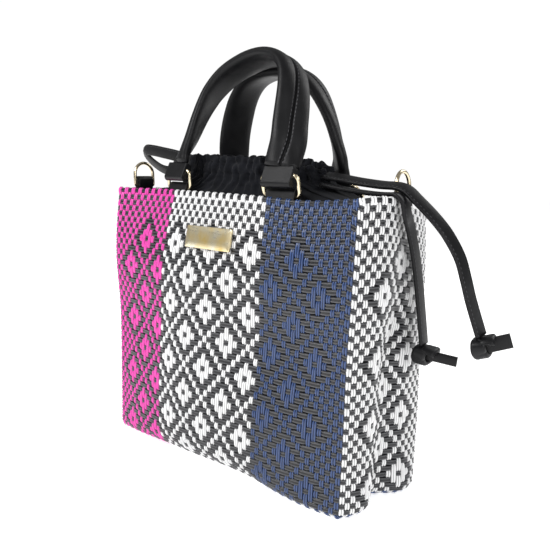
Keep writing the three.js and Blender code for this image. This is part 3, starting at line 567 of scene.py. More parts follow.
def outline_grid(level_count=121):
    """Outline at even levels, read at quarter columns of equal length along each panel: levels by 688 by 2"""
    level = np.linspace(0, 1, level_count)
    rounds = [CORNER_ROUND / (BODY_WIDTH if i % 2 == 0 else BODY_DEPTH) for i in range(4)]
    corners = corner_points(level)

    def bend(before, t):
        after = (before + 1) % 4
        a = panel_points(before, np.array([1 - rounds[before]]), level)
        b = corners[after][:, None]
        c = panel_points(after, np.array([rounds[after]]), level)
        t = t[None, :, None]
        return a * (1 - t) ** 2 + b * 2 * t * (1 - t) + c * t**2

    columns = []
    for index in range(4):
        share = np.linspace(rounds[index], 1 - rounds[index], 61)
        line = np.concatenate([
            bend((index + 3) % 4, np.array([0.5, 0.62, 0.75, 0.88])), panel_points(index, share, level),
            bend(index, np.array([0.12, 0.25, 0.38, 0.5]))], 1)
        length = np.concatenate([np.zeros((level_count, 1)), np.cumsum(np.linalg.norm(np.diff(line, axis=1), axis=2), 1)], 1)
        count = PANELS[index]["columns"] * STEPS
        read = np.empty((level_count, count, 2))
        for row in range(level_count):
            at = np.linspace(0, length[row, -1], count, endpoint=False)
            read[row] = np.stack([np.interp(at, length[row], line[row, :, axis]) for axis in (0, 1)], 1)
        columns.append(read)
    return np.concatenate(columns, 1)


def place_table(key, blend=0):
    """A panel table (rim drop or foot radius) at each quarter column"""
    values = []
    for index in range(4):
        count = PANELS[index]["columns"] * STEPS
        values.append(smooth_between(*PANELS[index][key], np.arange(count) / count))
    return np.concatenate(values)


class Body:
    """The woven body's outer surface on a grid of quarter rows by quarter columns, with its normals"""

    def __init__(self):
        self.grid = outline_grid()
        self.rim = BODY_HEIGHT * (1 - place_table("rim"))
        self.foot = BODY_HEIGHT * place_table("foot")
        k = np.arange(COLUMNS * STEPS)
        side = np.zeros(COLUMNS * STEPS)
        for first, last in ((FIRST[1], FIRST[2]), (FIRST[3], FIRST[4])):
            side[first * STEPS:last * STEPS] = 1
        kernel = np.ones(9) / 9
        padded = np.concatenate([side[-4:], side, side[:4]])
        self.top_row = 1 - np.convolve(padded, kernel, "valid")
        v = np.arange(ROWS * STEPS + 1) / STEPS
        self.surface = self.at(v[:, None], k[None, :])
        down = np.gradient(self.surface, axis=0)
        around = np.roll(self.surface, -1, 1) - np.roll(self.surface, 1, 1)
        self.down, self.around = unit(down), unit(around)
        self.normal = unit(np.cross(self.down, self.around))

    def height(self, v, k):
        """Height along the wall before the foot's curve: an even row pitch, shifted to the rim and fading to the foot"""
        top = self.top_row[k]
        even = 241.5 - 5.07 * v
        shift = self.rim[k] + 0.5 - (241.5 - 5.07 * top)
        return even + shift * (1 - (v - top) / (ROWS - top))

    def at(self, v, k):
        """Points of the outer surface: a wall above the foot's radius, and a quarter turn under it"""
        k = np.broadcast_to(k, np.broadcast(v, k).shape)
        height = self.height(v, k)
        radius = self.foot[k]
        angle = np.clip((radius - height) / radius, 0, np.pi / 2)
        z = np.where(height >= radius, height, radius * (1 - np.sin(angle)))
        inset = radius * (1 - np.cos(angle))
        level = np.clip(z / BODY_HEIGHT, 0, 1) * (len(self.grid) - 1)
        low = np.clip(level.astype(int), 0, len(self.grid) - 2)
        part = (level - low)[..., None]
        flat = self.grid[low, k] * (1 - part) + self.grid[low + 1, k] * part
        total = COLUMNS * STEPS
        ahead = self.grid[low, (k + 3) % total] - self.grid[low, (k - 3) % total]
        ahead = unit(ahead)
        inward = np.stack([-ahead[..., 1], ahead[..., 0]], -1)
        flat = flat + inward * inset[..., None]
        return np.concatenate([flat, z[..., None]], -1)


def over_table():
    """Where a lengthwise strip lies on top: a plain weave on row plus column, with flowers of two longer floats set
    in rows ten apart and turned by half a step between"""
    row, column = np.meshgrid(np.arange(ROWS), np.arange(COLUMNS), indexing="ij")
    over = (row + column) % 2 == 1
    centres = []
    for panel, first in enumerate(FIRST[:4]):
        if panel % 2 == 0:
            centres += [(r, first + c) for r in (9, 19, 29, 39) for c in (11, 21, 31, 41, 51)]
            centres += [(r, first + c) for r in (14, 24, 34, 44) for c in (6, 16, 26, 36, 46, 56)]
        else:
            centres += [(r, first + 11) for r in (8, 18, 28, 38)]
            centres += [(r, first + c) for r in (13, 23, 33, 43) for c in (6, 16)]
    for r, c in centres:
        reach = abs(row - r) + abs(column - c)
        over = np.where(reach == 2, True, np.where(reach == 3, False, over))
    return over


# ribbon section: across and out, as shares of the half width and thickness: two rounded ridges and a groove
RIBBON = np.array([[-1, -0.8], [-0.84, 0.2], [-0.48, 0.5], [0, -0.25], [0.48, 0.5], [0.84, 0.2], [1, -0.8]])


def ribbon_lift(state, closed):
    """Lift along a strip at quarter cells: each cell's own side at its middle, and the mean of two at their edge.
    state is strips by cells, of 1 over and -1 under"""
    before = np.roll(state, 1, 1)
    after = np.roll(state, -1, 1)
    if not closed:
        before[:, 0], after[:, -1] = state[:, 0], state[:, -1]
    start, end = (before + state) / 2, (after + state) / 2
    cells = np.stack([start, 0.25 * start + 0.75 * state, state, 0.25 * end + 0.75 * state], 2)
    lift = cells.reshape(len(state), -1)
    return lift if closed else np.concatenate([lift, end[:, -1:]], 1)


def ribbons(centre, out, across, half, state, closed, seed, skip=0):
    """Strips: at each point of a strip's line the ribbon section, moved out by its lift; where a strip lies under
    another, its hidden middle is left out. Returns points, quads and UVs (across, along + the strip's own offset)"""
    s = sizes()
    lift = ribbon_lift(state, closed)[:, skip:]
    strips, steps = lift.shape
    squeeze = 1 - 0.10 * (1 - np.abs(lift))
    middle = -(s.strip_thickness / 2 + s.strip_lift)
    level = lift * s.strip_lift + middle
    wide = (half * squeeze * s.strip_fill)[..., None, None]
    points = (centre[:, :, None, :] + RIBBON[None, None, :, :1] * wide * across[:, :, None, :]
              + (level[..., None, None] + RIBBON[None, None, :, 1:] * s.strip_thickness) * out[:, :, None, :])
    k = len(RIBBON)
    per = steps * k
    hidden = lift < -0.7
    hidden = hidden & np.roll(hidden, -1, 1)
    quads = grid_quads(steps, k, wrap_rows=closed)
    lengths = steps if closed else steps - 1
    keep = ~hidden[:, :lengths]
    all_quads = (np.arange(strips) * per)[:, None, None] + quads[None]
    all_quads = all_quads.reshape(strips, lengths, k - 1, 4)[keep].reshape(-1, 4)
    offset = np.random.default_rng(seed).uniform(0, 400, strips)
    uv = np.empty((strips, steps, k, 2))
    uv[..., 0] = (RIBBON[:, 0] + 1) / 2
    uv[..., 1] = (offset[:, None] + np.arange(steps)[None] / STEPS)[..., None]
    return points.reshape(-1, 3), all_quads, uv.reshape(-1, 2)


def without_loose(points, quads, uv):
    """Drops the points that no quad uses"""
    used, place = np.unique(quads, return_inverse=True)
    return points[used], place.reshape(quads.shape), uv[used]


def stripe_of(column):
    """0 pink, 1 white, 2 navy, 3 white end panel, by global column"""
    column = np.asarray(column)
    place = np.where(column < 63, column, np.where((column >= 86) & (column < 149), 148 - column, -1))
    kind = np.searchsorted(STRIPE_EDGES, place, side="right")
    return np.where(place < 0, 3, kind)


STRIPES = (("pink", "pink"), ("white", "white"), ("navy", "navy"), ("white_side", "white"))


def strip_material(kind):
    c = colours()
    # each kind: colour, roughness, spread of the random tone, share of the painted ridge highlight
    table = {
        "pink": (tuple(c.pink), 0.34, 0.10, 0.15), "white": (tuple(c.white), 0.34, 0.05, 0.1),
        "navy": (tuple(c.navy), 0.28, 0.28, 0.6), "charcoal": (tuple(c.charcoal), 0.30, 0.30, 0.75),
    }
    return strip_finish(kind + "_plastic_strip", *table[kind])


def weave_panel(body):
    """Lengthwise and crosswise strips of the four panels"""
    over = over_table()
    column = np.arange(COLUMNS)
    stripe = stripe_of(column)
    middle = column * STEPS + STEPS // 2
    half = np.linalg.norm(body.surface[:, (middle + 2) % (COLUMNS * STEPS)] - body.surface[:, middle - 2], axis=-1) / 2
    for kind, (name, colour) in enumerate(STRIPES):
        for where, first in (("front", 0), ("rear", 1)):
            if kind < 3:
                mine = column[(stripe == kind) & ((column < 63) == (where == "front"))]
                top = 1
            else:
                mine = column[(stripe == kind) & ((column < 86) == (where == "front"))]
                top = 0
            rows = slice(top * STEPS + 2, None)
            state = np.where(over[top:, mine], 1.0, -1.0).T
            pick = lambda field: np.swapaxes(field[rows][:, middle[mine]], 0, 1)
            points, quads, uv = ribbons(
                pick(body.surface) * MM, pick(body.normal), pick(body.around), half[rows][:, mine].T * MM, state, False,
                seed=10 * kind + first, skip=2)
            points, quads, uv = without_loose(points, quads, uv)
            label = {0: "front", 1: "rear"}[first] if kind < 3 else {0: "right", 1: "left"}[first]
            new_piece(f"{name}_strips_{label}", points, quads[:, ::-1], strip_material(colour), ("woven_body",), uv=uv)
    # crosswise strips run once round all four panels
    row = np.arange(ROWS)
    centre_row = row * STEPS + STEPS // 2
    half = np.linalg.norm(body.surface[centre_row + 2] - body.surface[centre_row - 2], axis=-1) / 2
    state = np.where(over, -1.0, 1.0)
    points, quads, uv = ribbons(
        body.surface[centre_row] * MM, body.normal[centre_row], body.down[centre_row], half * MM, state, True, seed=77)
    # the rolled rim stands for the first row, which is one lower on the front and rear
    per = COLUMNS * STEPS * len(RIBBON)
    strip_index = quads[:, 0] // per
    step_index = (quads[:, 0] % per) // len(RIBBON)
    column_of = step_index // STEPS
    on_side = stripe_of(column_of) == 3
    quads = quads[(strip_index > 1) | ((strip_index == 1) & on_side)]
    step_index = (quads[:, 0] % per) // len(RIBBON)
    front = step_index < FIRST[2] * STEPS
    for name, pick in (("front", front), ("rear", ~front)):
        some = without_loose(points, quads[pick], uv)
        new_piece(f"charcoal_strips_{name}", some[0], some[1], strip_material("charcoal"), ("woven_body",), uv=some[2])


def floor_points(body):
    """Floor grid of half columns by half rows: a patch between the four lower edges, its height falling off from
    each edge as a quarter turn does"""
    total = COLUMNS * STEPS
    edge = body.surface[-1]
    radius = body.foot
    k_front = np.arange(0, 63 * STEPS + 1)
    k_right = np.arange(FIRST[1] * STEPS, FIRST[2] * STEPS + 1)
    k_rear = np.arange(FIRST[3] * STEPS, FIRST[2] * STEPS - 1, -1)
    k_left = np.arange(total, FIRST[3] * STEPS - 1, -1) % total
    front, right, rear, left = (edge[k % total] for k in (k_front, k_right, k_rear, k_left))
    s = np.linspace(0, 1, len(front))[None, :, None]
    t = np.linspace(0, 1, len(right))[:, None, None]
    flat = (front[None] * (1 - t) + rear[None] * t + left[:, None] * (1 - s) + right[:, None] * s
            - (front[0] * (1 - s) * (1 - t) + front[-1] * s * (1 - t) + rear[0] * (1 - s) * t + rear[-1] * s * t))
    spans = (
        (np.linalg.norm(flat[..., :2] - front[None, :, :2], axis=-1), front[None, :, 2], radius[k_front % total][None, :]),
        (np.linalg.norm(flat[..., :2] - rear[None, :, :2], axis=-1), rear[None, :, 2], radius[k_rear % total][None, :]),
        (np.linalg.norm(flat[..., :2] - left[:, None, :2], axis=-1), left[:, None, 2], radius[k_left % total][:, None]),
        (np.linalg.norm(flat[..., :2] - right[:, None, :2], axis=-1), right[:, None, 2], radius[k_right % total][:, None]),
    )
    z = np.zeros(flat.shape[:2])
    for distance, height, r in spans:
        z = np.maximum(z, height * np.clip(1 - distance / (0.62 * r), 0, 1) ** 2)
    flat[..., 2] = z
    return flat


def weave_floor(body):
    """Strips under the bag: the stripes run on from front to rear, and the end panels' white strips cross them"""
    flat = floor_points(body)
    lift_off = sizes().strip_thickness
    flat[..., 2] += lift_off * 0
    along_x = unit(np.gradient(flat, axis=1))
    along_y = unit(np.gradient(flat, axis=0))
    out = unit(np.cross(along_y, along_x))
    rows, columns = 23, 63
    middle = np.arange(columns) * STEPS + 2
    half_x = np.linalg.norm(flat[:, middle + 2] - flat[:, middle - 2], axis=-1) / 2
    row, column = np.meshgrid(np.arange(rows), np.arange(columns), indexing="ij")
    over = (row + column) % 2 == 0
    for kind, (name, colour) in enumerate(STRIPES[:3]):
        mine = np.arange(columns)[stripe_of(np.arange(columns)) == kind]
        state = np.where(over[:, mine], 1.0, -1.0).T
        pick = lambda field: np.swapaxes(field[:, middle[mine]], 0, 1)
        points, quads, uv = ribbons(pick(flat) * MM, pick(out), pick(along_x), half_x[:, mine].T * MM, state, False, seed=30 + kind)
        points, quads, uv = without_loose(points, quads, uv)
        new_piece(f"{name}_strips_bottom", points, quads, strip_material(colour), ("woven_body",), uv=uv)
    centre = np.arange(rows) * STEPS + 2
    half_y = np.linalg.norm(flat[centre + 2] - flat[centre - 2], axis=-1) / 2
    state = np.where(over, -1.0, 1.0)
    points, quads, uv = ribbons(flat[centre] * MM, out[centre], along_y[centre], half_y * MM, state, False, seed=40)
    points, quads, uv = without_loose(points, quads, uv)
    new_piece("white_cross_strips_bottom", points, quads[:, ::-1], strip_material("white"), ("woven_body",), uv=uv)


def weave_rim(body):
    """Rolled rim: a charcoal core along the edge, and over it each top strip folded inward over a half turn"""
    total = COLUMNS * STEPS
    top = np.clip(np.round(body.top_row * STEPS).astype(int), 0, STEPS)
    k = np.arange(total)
    edge = body.surface[top, k]
    out = body.normal[top, k] * np.array([1, 1, 0.25])
    out = unit(out)
    around = unit(np.roll(edge, -1, 0) - np.roll(edge, 1, 0))
    up = unit(np.cross(around, out))
    up = np.where(up[:, 2:] < 0, -up, up)
    roll, tall = 1.75, 2.5
    centre = edge - out * (roll - 0.1) - up * (tall - 0.2)
    turn = np.linspace(0, 2 * np.pi, 14, endpoint=False)
    ring = (centre[:, None] + out[:, None] * (np.cos(turn) * (roll - 0.45))[None, :, None]
            + up[:, None] * (np.sin(turn) * (tall - 0.45))[None, :, None])
    uv = np.stack(np.broadcast_arrays(np.linspace(0, 1, 14)[None], (k / STEPS)[:, None]), -1)
    faces = outward([grid_quads(total, 14, True, True)], ring.reshape(-1, 3))
    new_piece("rim_core_strip", ring * MM, faces, strip_material("charcoal"), ("woven_body",), uv=uv)
    over = over_table()
    column = np.arange(COLUMNS)
    stripe = stripe_of(column)
    top_over = np.where(stripe == 3, over[0], over[1])
    arc = np.concatenate([[-0.55, -0.3], np.linspace(0, np.pi, 11), [np.pi + 0.3, np.pi + 0.55]])
    tuck = np.where((arc < -0.4) | (arc > np.pi + 0.4), 0.9, 0.0)
    for kind, (name, colour) in enumerate(STRIPES):
        mine = column[(stripe == kind) & top_over]
        at = mine * STEPS + 2
        below_out = np.where(arc < 0, -arc * 6, 0) + np.where(arc > np.pi, (arc - np.pi) * 6, 0)
        radial_out, radial_up = np.cos(np.clip(arc, 0, np.pi)), np.sin(np.clip(arc, 0, np.pi))
        line = (centre[at][:, None] + out[at][:, None] * (radial_out * (roll - tuck))[None, :, None]
                + up[at][:, None] * (radial_up * tall - below_out)[None, :, None])
        face = (out[at][:, None] * radial_out[None, :, None] + up[at][:, None] * radial_up[None, :, None])
        wide = np.broadcast_to(around[at][:, None], line.shape)
        half = np.linalg.norm(edge[(at + 2) % total] - edge[at - 2], axis=1) / 2 * 1.0
        points = (line[:, :, None] + RIBBON[None, None, :, :1] * half[:, None, None, None] * wide[:, :, None]
                  + RIBBON[None, None, :, 1:] * 0.9 * face[:, :, None])
        strips, steps, across = points.shape[:3]
        quads = (np.arange(strips) * steps * across)[:, None, None] + grid_quads(steps, across)[None]
        uv = np.empty((strips, steps, across, 2))
        uv[..., 0] = (RIBBON[:, 0] + 1) / 2
        uv[..., 1] = (np.arange(strips) * 3.7)[:, None, None] + (np.arange(steps) / 4)[None, :, None]
        new_piece(f"{name}_rim_stitches", points * MM, quads.reshape(-1, 4), strip_material(colour), ("woven_body",), uv=uv)


def weave_backing(body):
    """Inner wall: rings just behind the strips and at the wall's inner face, closed at the rim and across the floor"""
    pick_v = np.arange(0, ROWS * STEPS + 1, 4)
    pick_k = np.arange(0, COLUMNS * STEPS, 2)
    total = len(pick_k)
    surface = body.surface[pick_v][:, pick_k]
    normal = body.normal[pick_v][:, pick_k]
    below = body.top_row[pick_k] + 0.4
    start = body.at(below[None], pick_k[None])[0]
    keep = pick_v[:, None] / STEPS > below[None]
    surface = np.where(keep[..., None], surface, start[None])
    outer, inner = surface - normal * 1.9, surface - normal * WALL
    centre = surface[-1].mean(0)

    def floor(ring, z):
        shares = np.array([0.9, 0.7, 0.45, 0.2])[:, None, None]
        rings = centre + (ring[None] - centre) * shares
        rings[..., 2] = z + (ring[None, :, 2] - z) * np.array([0.25, 0.0, 0, 0])[:, None]
        return rings

    rings = np.concatenate([floor(inner[-1], WALL + 0.3)[::-1], inner[::-1], outer, floor(outer[-1], 1.5)])
    count = len(rings)
    quads = grid_quads(count, total, wrap_columns=True)
    caps = [np.arange(total)[None, ::-1], (np.arange(total) + (count - 1) * total)[None]]
    points = rings.reshape(-1, 3)
    faces = outward([quads, *caps], points)
    uv = np.stack(np.broadcast_arrays((pick_k / STEPS)[None], np.arange(count)[:, None] * 1.0), -1)
    new_piece("weave_inner_wall", points * MM, faces, strip_material("charcoal"), ("woven_body",), uv=uv)


# ---------------------------------------------------------------- other pieces
def collar_surface(body, count=56):
    """Gathered collar: a skirt inside the wall that leaves it for a flattened oval, pleated by waves whose depth
    grows to the drawstring's casing and whose phase wanders up the cloth; the edge above the casing ruffles"""
    total = COLUMNS * STEPS
    k = np.arange(total)
    level = int(round(0.9 * (len(body.grid) - 1)))
    centred = body.grid[level] - COLLAR_CENTRE
    angle = np.unwrap(np.arctan2(centred[:, 1] / BODY_DEPTH, centred[:, 0] / BODY_WIDTH))
    rows = np.linspace(0, 1, count)
    table = smooth_between(COLLAR_ROWS[:, 0], COLLAR_ROWS[:, 1:3], rows)
    edge = smooth_between(*COLLAR_TOP, np.cos(angle))
    ovals = np.stack([
        COLLAR_CENTRE[0] + COLLAR_HALF[0] * table[:, :1] * np.cos(angle)[None],
        COLLAR_CENTRE[1] + COLLAR_HALF[1] * table[:, 1:] * np.sin(angle)[None]], -1)
    rise = np.interp(rows, COLLAR_ROWS[2:, 0], COLLAR_ROWS[2:, 3])
    oval_z = BODY_HEIGHT + COLLAR_RISE * rise[:, None] * edge[None]
    below = np.interp(rows, COLLAR_ROWS[:2, 0], -COLLAR_ROWS[:2, 3])
    wall = self_wall(body, below)
    blend = smooth_between((0, 0.28, 0.44, 1), (0, 0, 1, 1), rows)[:, None, None]
    blend = np.clip(blend, 0, 1)
    mixed = wall * (1 - blend) + np.concatenate([ovals, oval_z[..., None]], -1) * blend
    length = np.concatenate([[0], np.cumsum(np.linalg.norm(np.diff(ovals[-1], axis=0), axis=1))])
    turn = 2 * np.pi * length / (length[-1] + length[1])
    rng = np.random.default_rng(5)
    wave = np.zeros((count, total))
    for folds, depth in ((19, 0.3), (34, 0.45)):
        phase, drift = rng.uniform(0, 6.28), rng.uniform(-1.6, 1.6)
        swing = 0.9 * np.sin(turn * rng.integers(2, 6) + rng.uniform(0, 6.28))
        wave += depth * np.sin(folds * turn[None] + phase + drift * rows[:, None] * 2.2 + swing[None] * (1 + rows[:, None]))
    for folds, climb, depth in ((25, 7, 0.35), (31, -10, 0.4), (39, 14, 0.4), (47, -17, 0.35), (58, 12, 0.18)):
        bend = 0.8 * np.sin(turn * rng.integers(3, 9) + rng.uniform(0, 6.28))
        wave += depth * np.sin(folds * turn[None] + climb * rows[:, None] + rng.uniform(0, 6.28) + bend[None] * (1 + 2 * rows[:, None]))
    fade = smooth_between((0, 0.25, 0.45, 0.68, 0.86, 1), (0.1, 0.25, 0.8, 0.95, 0.8, 1.2), rows)[:, None]
    seam = (np.exp(-((rows - 0.70) / 0.02) ** 2) + np.exp(-((rows - 0.9) / 0.018) ** 2))[:, None]
    casing = 0.9 * np.exp(-((rows - 0.80) / 0.07) ** 2)[:, None]
    push = sizes().gather * 1000 * wave * fade + casing - 0.7 * seam
    across = np.roll(mixed, -1, 1) - np.roll(mixed, 1, 1)
    sideways = unit(np.stack([across[..., 1], -across[..., 0], np.zeros_like(across[..., 0])], -1))
    mixed = mixed + sideways * push[..., None]
    ruffle = np.roll(wave[-1], 5) * 1.2
    mixed[..., 2] += np.clip((rows - 0.86) / 0.14, 0, 1)[:, None] * ruffle[None]
    return mixed


def self_wall(body, below):
    """Rings inside the wall, at heights below the rim, for each row of the collar"""
    total = COLUMNS * STEPS
    k = np.arange(total)
    z = body.rim[None] - np.asarray(below)[:, None]
    level = np.clip(z / BODY_HEIGHT, 0, 1) * (len(body.grid) - 1)
    low = np.clip(level.astype(int), 0, len(body.grid) - 2)
    part = (level - low)[..., None]
    flat = body.grid[low, k[None]] * (1 - part) + body.grid[low + 1, k[None]] * part
    ahead = unit(np.roll(flat, -3, 1) - np.roll(flat, 3, 1))
    flat = flat + np.stack([-ahead[..., 1], ahead[..., 0]], -1) * COLLAR_INSET
    return np.concatenate([flat, z[..., None]], -1)


def grid_area(points, quads):
    a, b, c, d = (points[quads[:, i]] for i in range(4))
    return 0.5 * (np.linalg.norm(np.cross(b - a, c - a), axis=1) + np.linalg.norm(np.cross(c - a, d - a), axis=1)).sum()


def gathered_collar(body):
    outer = collar_surface(body)
    across = np.roll(outer, -1, 1) - np.roll(outer, 1, 1)
    upward = np.gradient(outer, axis=0)
    normal = unit(np.cross(across, upward))
    inner = outer - normal * 1.1
    rings = np.concatenate([outer, inner[::-1]])
    quads = grid_quads(len(rings), rings.shape[1], True, True)
    points = rings.reshape(-1, 3)
    faces = outward([quads], points)
    piece = new_piece("collar_cloth", points * MM, faces, cloth_finish("black_gathered_cloth"), ("gathered_collar",))
    area = grid_area(outer.reshape(-1, 3) * MM, grid_quads(len(outer), outer.shape[1], wrap_columns=True))
    return piece


def handle_frames(spec, count=110):
    """Handle's centre line with its wide and face directions, turned by its table from facing out to lying across"""
    right, left = np.array(spec["feet"])
    rising_right, rising_left = unit(np.array(spec["rising"]))
    middle = (right + left) / 2
    arch = np.array(spec["arch"])
    foot = left + (right - left) * ((arch[:, :1] + 1) / 2)
    points = np.stack([
        middle[0] + arch[:, 0] * (right[0] - middle[0]), foot[:, 1] + spec["lean"] * arch[:, 1] * HANDLE_RISE,
        foot[:, 2] + arch[:, 1] * HANDLE_RISE], 1)
    points[1] = right + rising_right * 7
    points[-2] = left + rising_left * 7
    line = through(points, count)
    along = tangents_of(line)
    along[0], along[-1] = rising_right, -rising_left
    sign = 1 if spec["lean"] > 0 else -1
    out = unit(np.array([0, -1, spec["lean"]])) * sign
    turn = np.radians(smooth_between(*HANDLE_TURN, np.linspace(0, 1, count)))[:, None]
    rising = unit(np.cross(out, along))
    rising = np.where(np.einsum("ij,ij->i", rising, line - middle)[:, None] < 0, -rising, rising)
    face = out * np.cos(turn) + rising * np.sin(turn)
    face = unit(face - along * np.einsum("ij,ij->i", face, along)[:, None])
    wide = unit(np.cross(face, along))
    return line * MM, wide, face, along


def handle_section(width, thickness):
    """Two rolled halves that meet in a groove on the outer face, and a flatter inner face"""
    u = np.sin(np.linspace(-np.pi / 2, np.pi / 2, 33))
    u = np.sign(u) * np.abs(u) ** 1.25
    outer = np.sqrt(np.maximum(0, 1 - np.abs(u) ** 3.2)) * (1 - 0.10 * np.exp(-((u / 0.30) ** 2)) - 0.6 * np.exp(-((u / 0.055) ** 2)))
    inner = -0.82 * np.sqrt(np.maximum(0, 1 - np.abs(u) ** 4))
    top = np.stack([u, outer], 1)
    bottom = np.stack([u, inner], 1)[1:-1][::-1]
    return np.vstack([top, bottom]) * np.array([width / 2, thickness / 2])


def leather_handles():
    s = sizes()
    section = handle_section(s.handle_width, s.handle_thickness)
    for spec in HANDLES:
        line, wide, face, along = handle_frames(spec)
        points, faces = swept(line, wide, face, section)
        faces = outward(faces, points)
        piece = new_piece(spec["name"], points, faces, leather_finish("handle_leather", 0.40, 0.5), (spec["node"],))
        rows = []
        for side in (-0.13, 0.13):
            place = line + wide * side * s.handle_width / 2 + face * s.handle_thickness / 2 * 0.90
            rows.append(stitch_row(place, face, along, 0.0026, 0.0010, 0.00075, 0.00028))
        points, faces = joined(rows)
        new_piece(spec["name"].replace("leather", "stitches"), points, faces, thread_finish("black_thread", (0.05, 0.05, 0.055)))


def wire_ring(outline, pos, along, up, wire, sides=16):
    """Round wire along a closed flat outline, in a plane of the bar's direction and up"""
    flat = np.asarray(outline, float)
    line = np.asarray(pos) * MM + (flat[:, :1] * np.asarray(along) + flat[:, 1:] * np.asarray(up)) * MM
    ahead = unit(np.roll(line, -1, 0) - np.roll(line, 1, 0))
    across = unit(np.cross(along, up))
    side = unit(np.cross(ahead, across))
    turn = np.linspace(0, 2 * np.pi, sides, endpoint=False)
    points = (line[:, None] + side[:, None] * (np.cos(turn) * wire / 2)[None, :, None]
              + across[None, None] * (np.sin(turn) * wire / 2)[None, :, None])
    return points.reshape(-1, 3), outward([grid_quads(len(line), sides, True, True)], points.reshape(-1, 3))


def rectangle_outline(width, height, corner, steps=9):
    turn = np.radians(np.linspace(0, 90, steps))
    parts = []
    for (x, y), start in (((1, 0), -90), ((1, 1), 0), ((-1, 1), 90), ((-1, 0), 180)):
        a = turn + np.radians(start)
        cx, cy = x * (width / 2 - corner), corner if y == 0 else height - corner
        parts.append(np.stack([cx + corner * np.cos(a), cy + corner * np.sin(a)], 1))
    return np.vstack(parts)


def d_outline(width, height):
    radius = width / 2
    straight = height - radius
    low = np.radians(np.linspace(-90, 0, 6))
    c = 1.6
    right = np.stack([radius - c + c * np.cos(low), c + c * np.sin(low)], 1)
    turn = np.radians(np.linspace(4, 176, 27))
    arc = np.stack([radius * np.cos(turn), straight + radius * np.sin(turn)], 1)
    left = right[::-1] * np.array([-1, 1])
    return np.vstack([right, arc, left])


def wrap_profile(near, far, end, radius, play, steps=18):
    """Leather folded round a bar: a round head past the origin by the play, that runs into a flat tongue, (inward, up)"""
    side = np.sign(end)
    shoulder = side * min(radius * 1.6, abs(end) * 0.7)
    turn = np.linspace(np.pi, 0, steps)
    head = np.stack([radius * np.cos(turn), -side * (radius * np.sin(turn) + play)], 1)
    start = [[near, end], [near, shoulder]] if near < -radius else [[near, end]]
    return np.vstack([start, head, [[radius, 0], [far, shoulder], [far, end]]])


def leather_wrap(name, node, pos, along, up, width, near, far, end, radius, play):
    """Wrap's profile carried along its bar, its edges rounded by a Bevel"""
    along, up = unit(np.array(along, float)), unit(np.array(up, float))
    inward = np.cross(up, along)
    profile = wrap_profile(near, far, end, radius, play)
    across = np.linspace(-width / 2, width / 2, 2)
    points = (np.asarray(pos)[None, None] + across[:, None, None] * along[None, None]
              + profile[None, :, :1] * inward[None, None] + profile[None, :, 1:] * up[None, None]) * MM
    count = len(profile)
    flat = points.reshape(-1, 3)
    faces = outward([grid_quads(2, count, wrap_columns=True), np.arange(count)[None, ::-1], (np.arange(count) + count)[None]], flat)
    piece = new_piece(name, flat, faces, leather_finish("strap_leather", 0.38, 0.6), (node,))
    bevel = piece.modifiers.new("edge", "BEVEL")
    bevel.width, bevel.segments, bevel.limit_method, bevel.angle_limit = 0.0006, 3, "ANGLE", np.radians(40)
    bevel.harden_normals = True
    return piece


def rings_and_tabs():
    s = sizes()
    gold = metal_finish("light_gold_ring", tuple(colours().gold), 0.14, 220.0)
    wire = s.wire * 1000
    for spec in FASTENINGS:
        name, pos, along = spec["name"], np.array(spec["pos"]), np.array(spec["along"])
        outline = rectangle_outline(36.5 - wire, 20 - wire, 4.6)
        points, faces = wire_ring(outline, pos, along, spec["ring"], s.wire)
        new_piece(f"ring_{name}", points, faces, gold, (f"handle_ring_{name}",))
        leather_wrap(f"tab_{name}", f"handle_tab_{name}", pos, along, spec["tab"], 27, -3.8, 0.2, -spec["drop"], 3.8, 3.2 if spec["play"] > 2 else 1.8)
        upper = pos + np.array(spec["ring"]) * (20 - wire)
        leather_wrap(f"loop_{name}", f"handle_loop_{name}", upper, along, spec["loop"], 27.4, -3.4, 3.4, 6, 3.4, spec["play"])
    for spec in D_RINGS:
        name, pos = spec["name"], np.array(spec["pos"])
        outline = d_outline(24 - wire, 24 - wire)
        points, faces = wire_ring(outline, pos, spec["along"], spec["up"], s.wire)
        new_piece(f"d_ring_{name}_metal", points, faces, gold, (f"d_ring_{name}",), body=f"{name}_d_ring")
        leather_wrap(f"d_tab_{name}", f"d_ring_tab_{name}", pos, spec["along"], spec["up"], 16.5, -3.8, 0.2, -spec["drop"], 3.8, 5)


def blank_plate():
    """Blank plate: a rounded rectangle carried through its thickness, its front edge eased, its face slightly crowned"""
    along, up = unit(np.array(PLATE["along"])), unit(np.array(PLATE["up"]))
    inward = np.cross(up, along)
    outline = rounded_section(53.0, 18.0, 1.0, 6)
    shares = ((0.0, 1.1), (0.0, -0.5), (0.25, -0.9), (0.7, -1.1), (6.0, -1.16))
    rings = []
    for ease, depth in shares:
        scale = np.array([(53.0 - 2 * ease) / 53.0, (18.0 - 2 * ease) / 18.0])
        flat = outline * scale
        rings.append(np.array(PLATE["pos"]) + flat[:, :1] * along + flat[:, 1:] * up + depth * inward)
    points = np.vstack(rings) * MM
    count = len(outline)
    faces = outward([
        grid_quads(len(shares), count, wrap_columns=True), np.arange(count)[None, ::-1],
        (np.arange(count) + (len(shares) - 1) * count)[None]], points)
    # the plate's pale second colour (0.93, 0.86, 0.66), laid on in soft clouds, is painted reflection
    piece = new_piece("blank_plate", points, faces, metal_finish("cloudy_plate", tuple(colours().plate), 0.24, 75.0, (0.93, 0.86, 0.66)), ("metal_plate",))
    bevel = piece.modifiers.new("edge", "BEVEL")
    bevel.width, bevel.segments, bevel.limit_method, bevel.angle_limit = 0.0002, 2, "ANGLE", np.radians(50)
    return piece


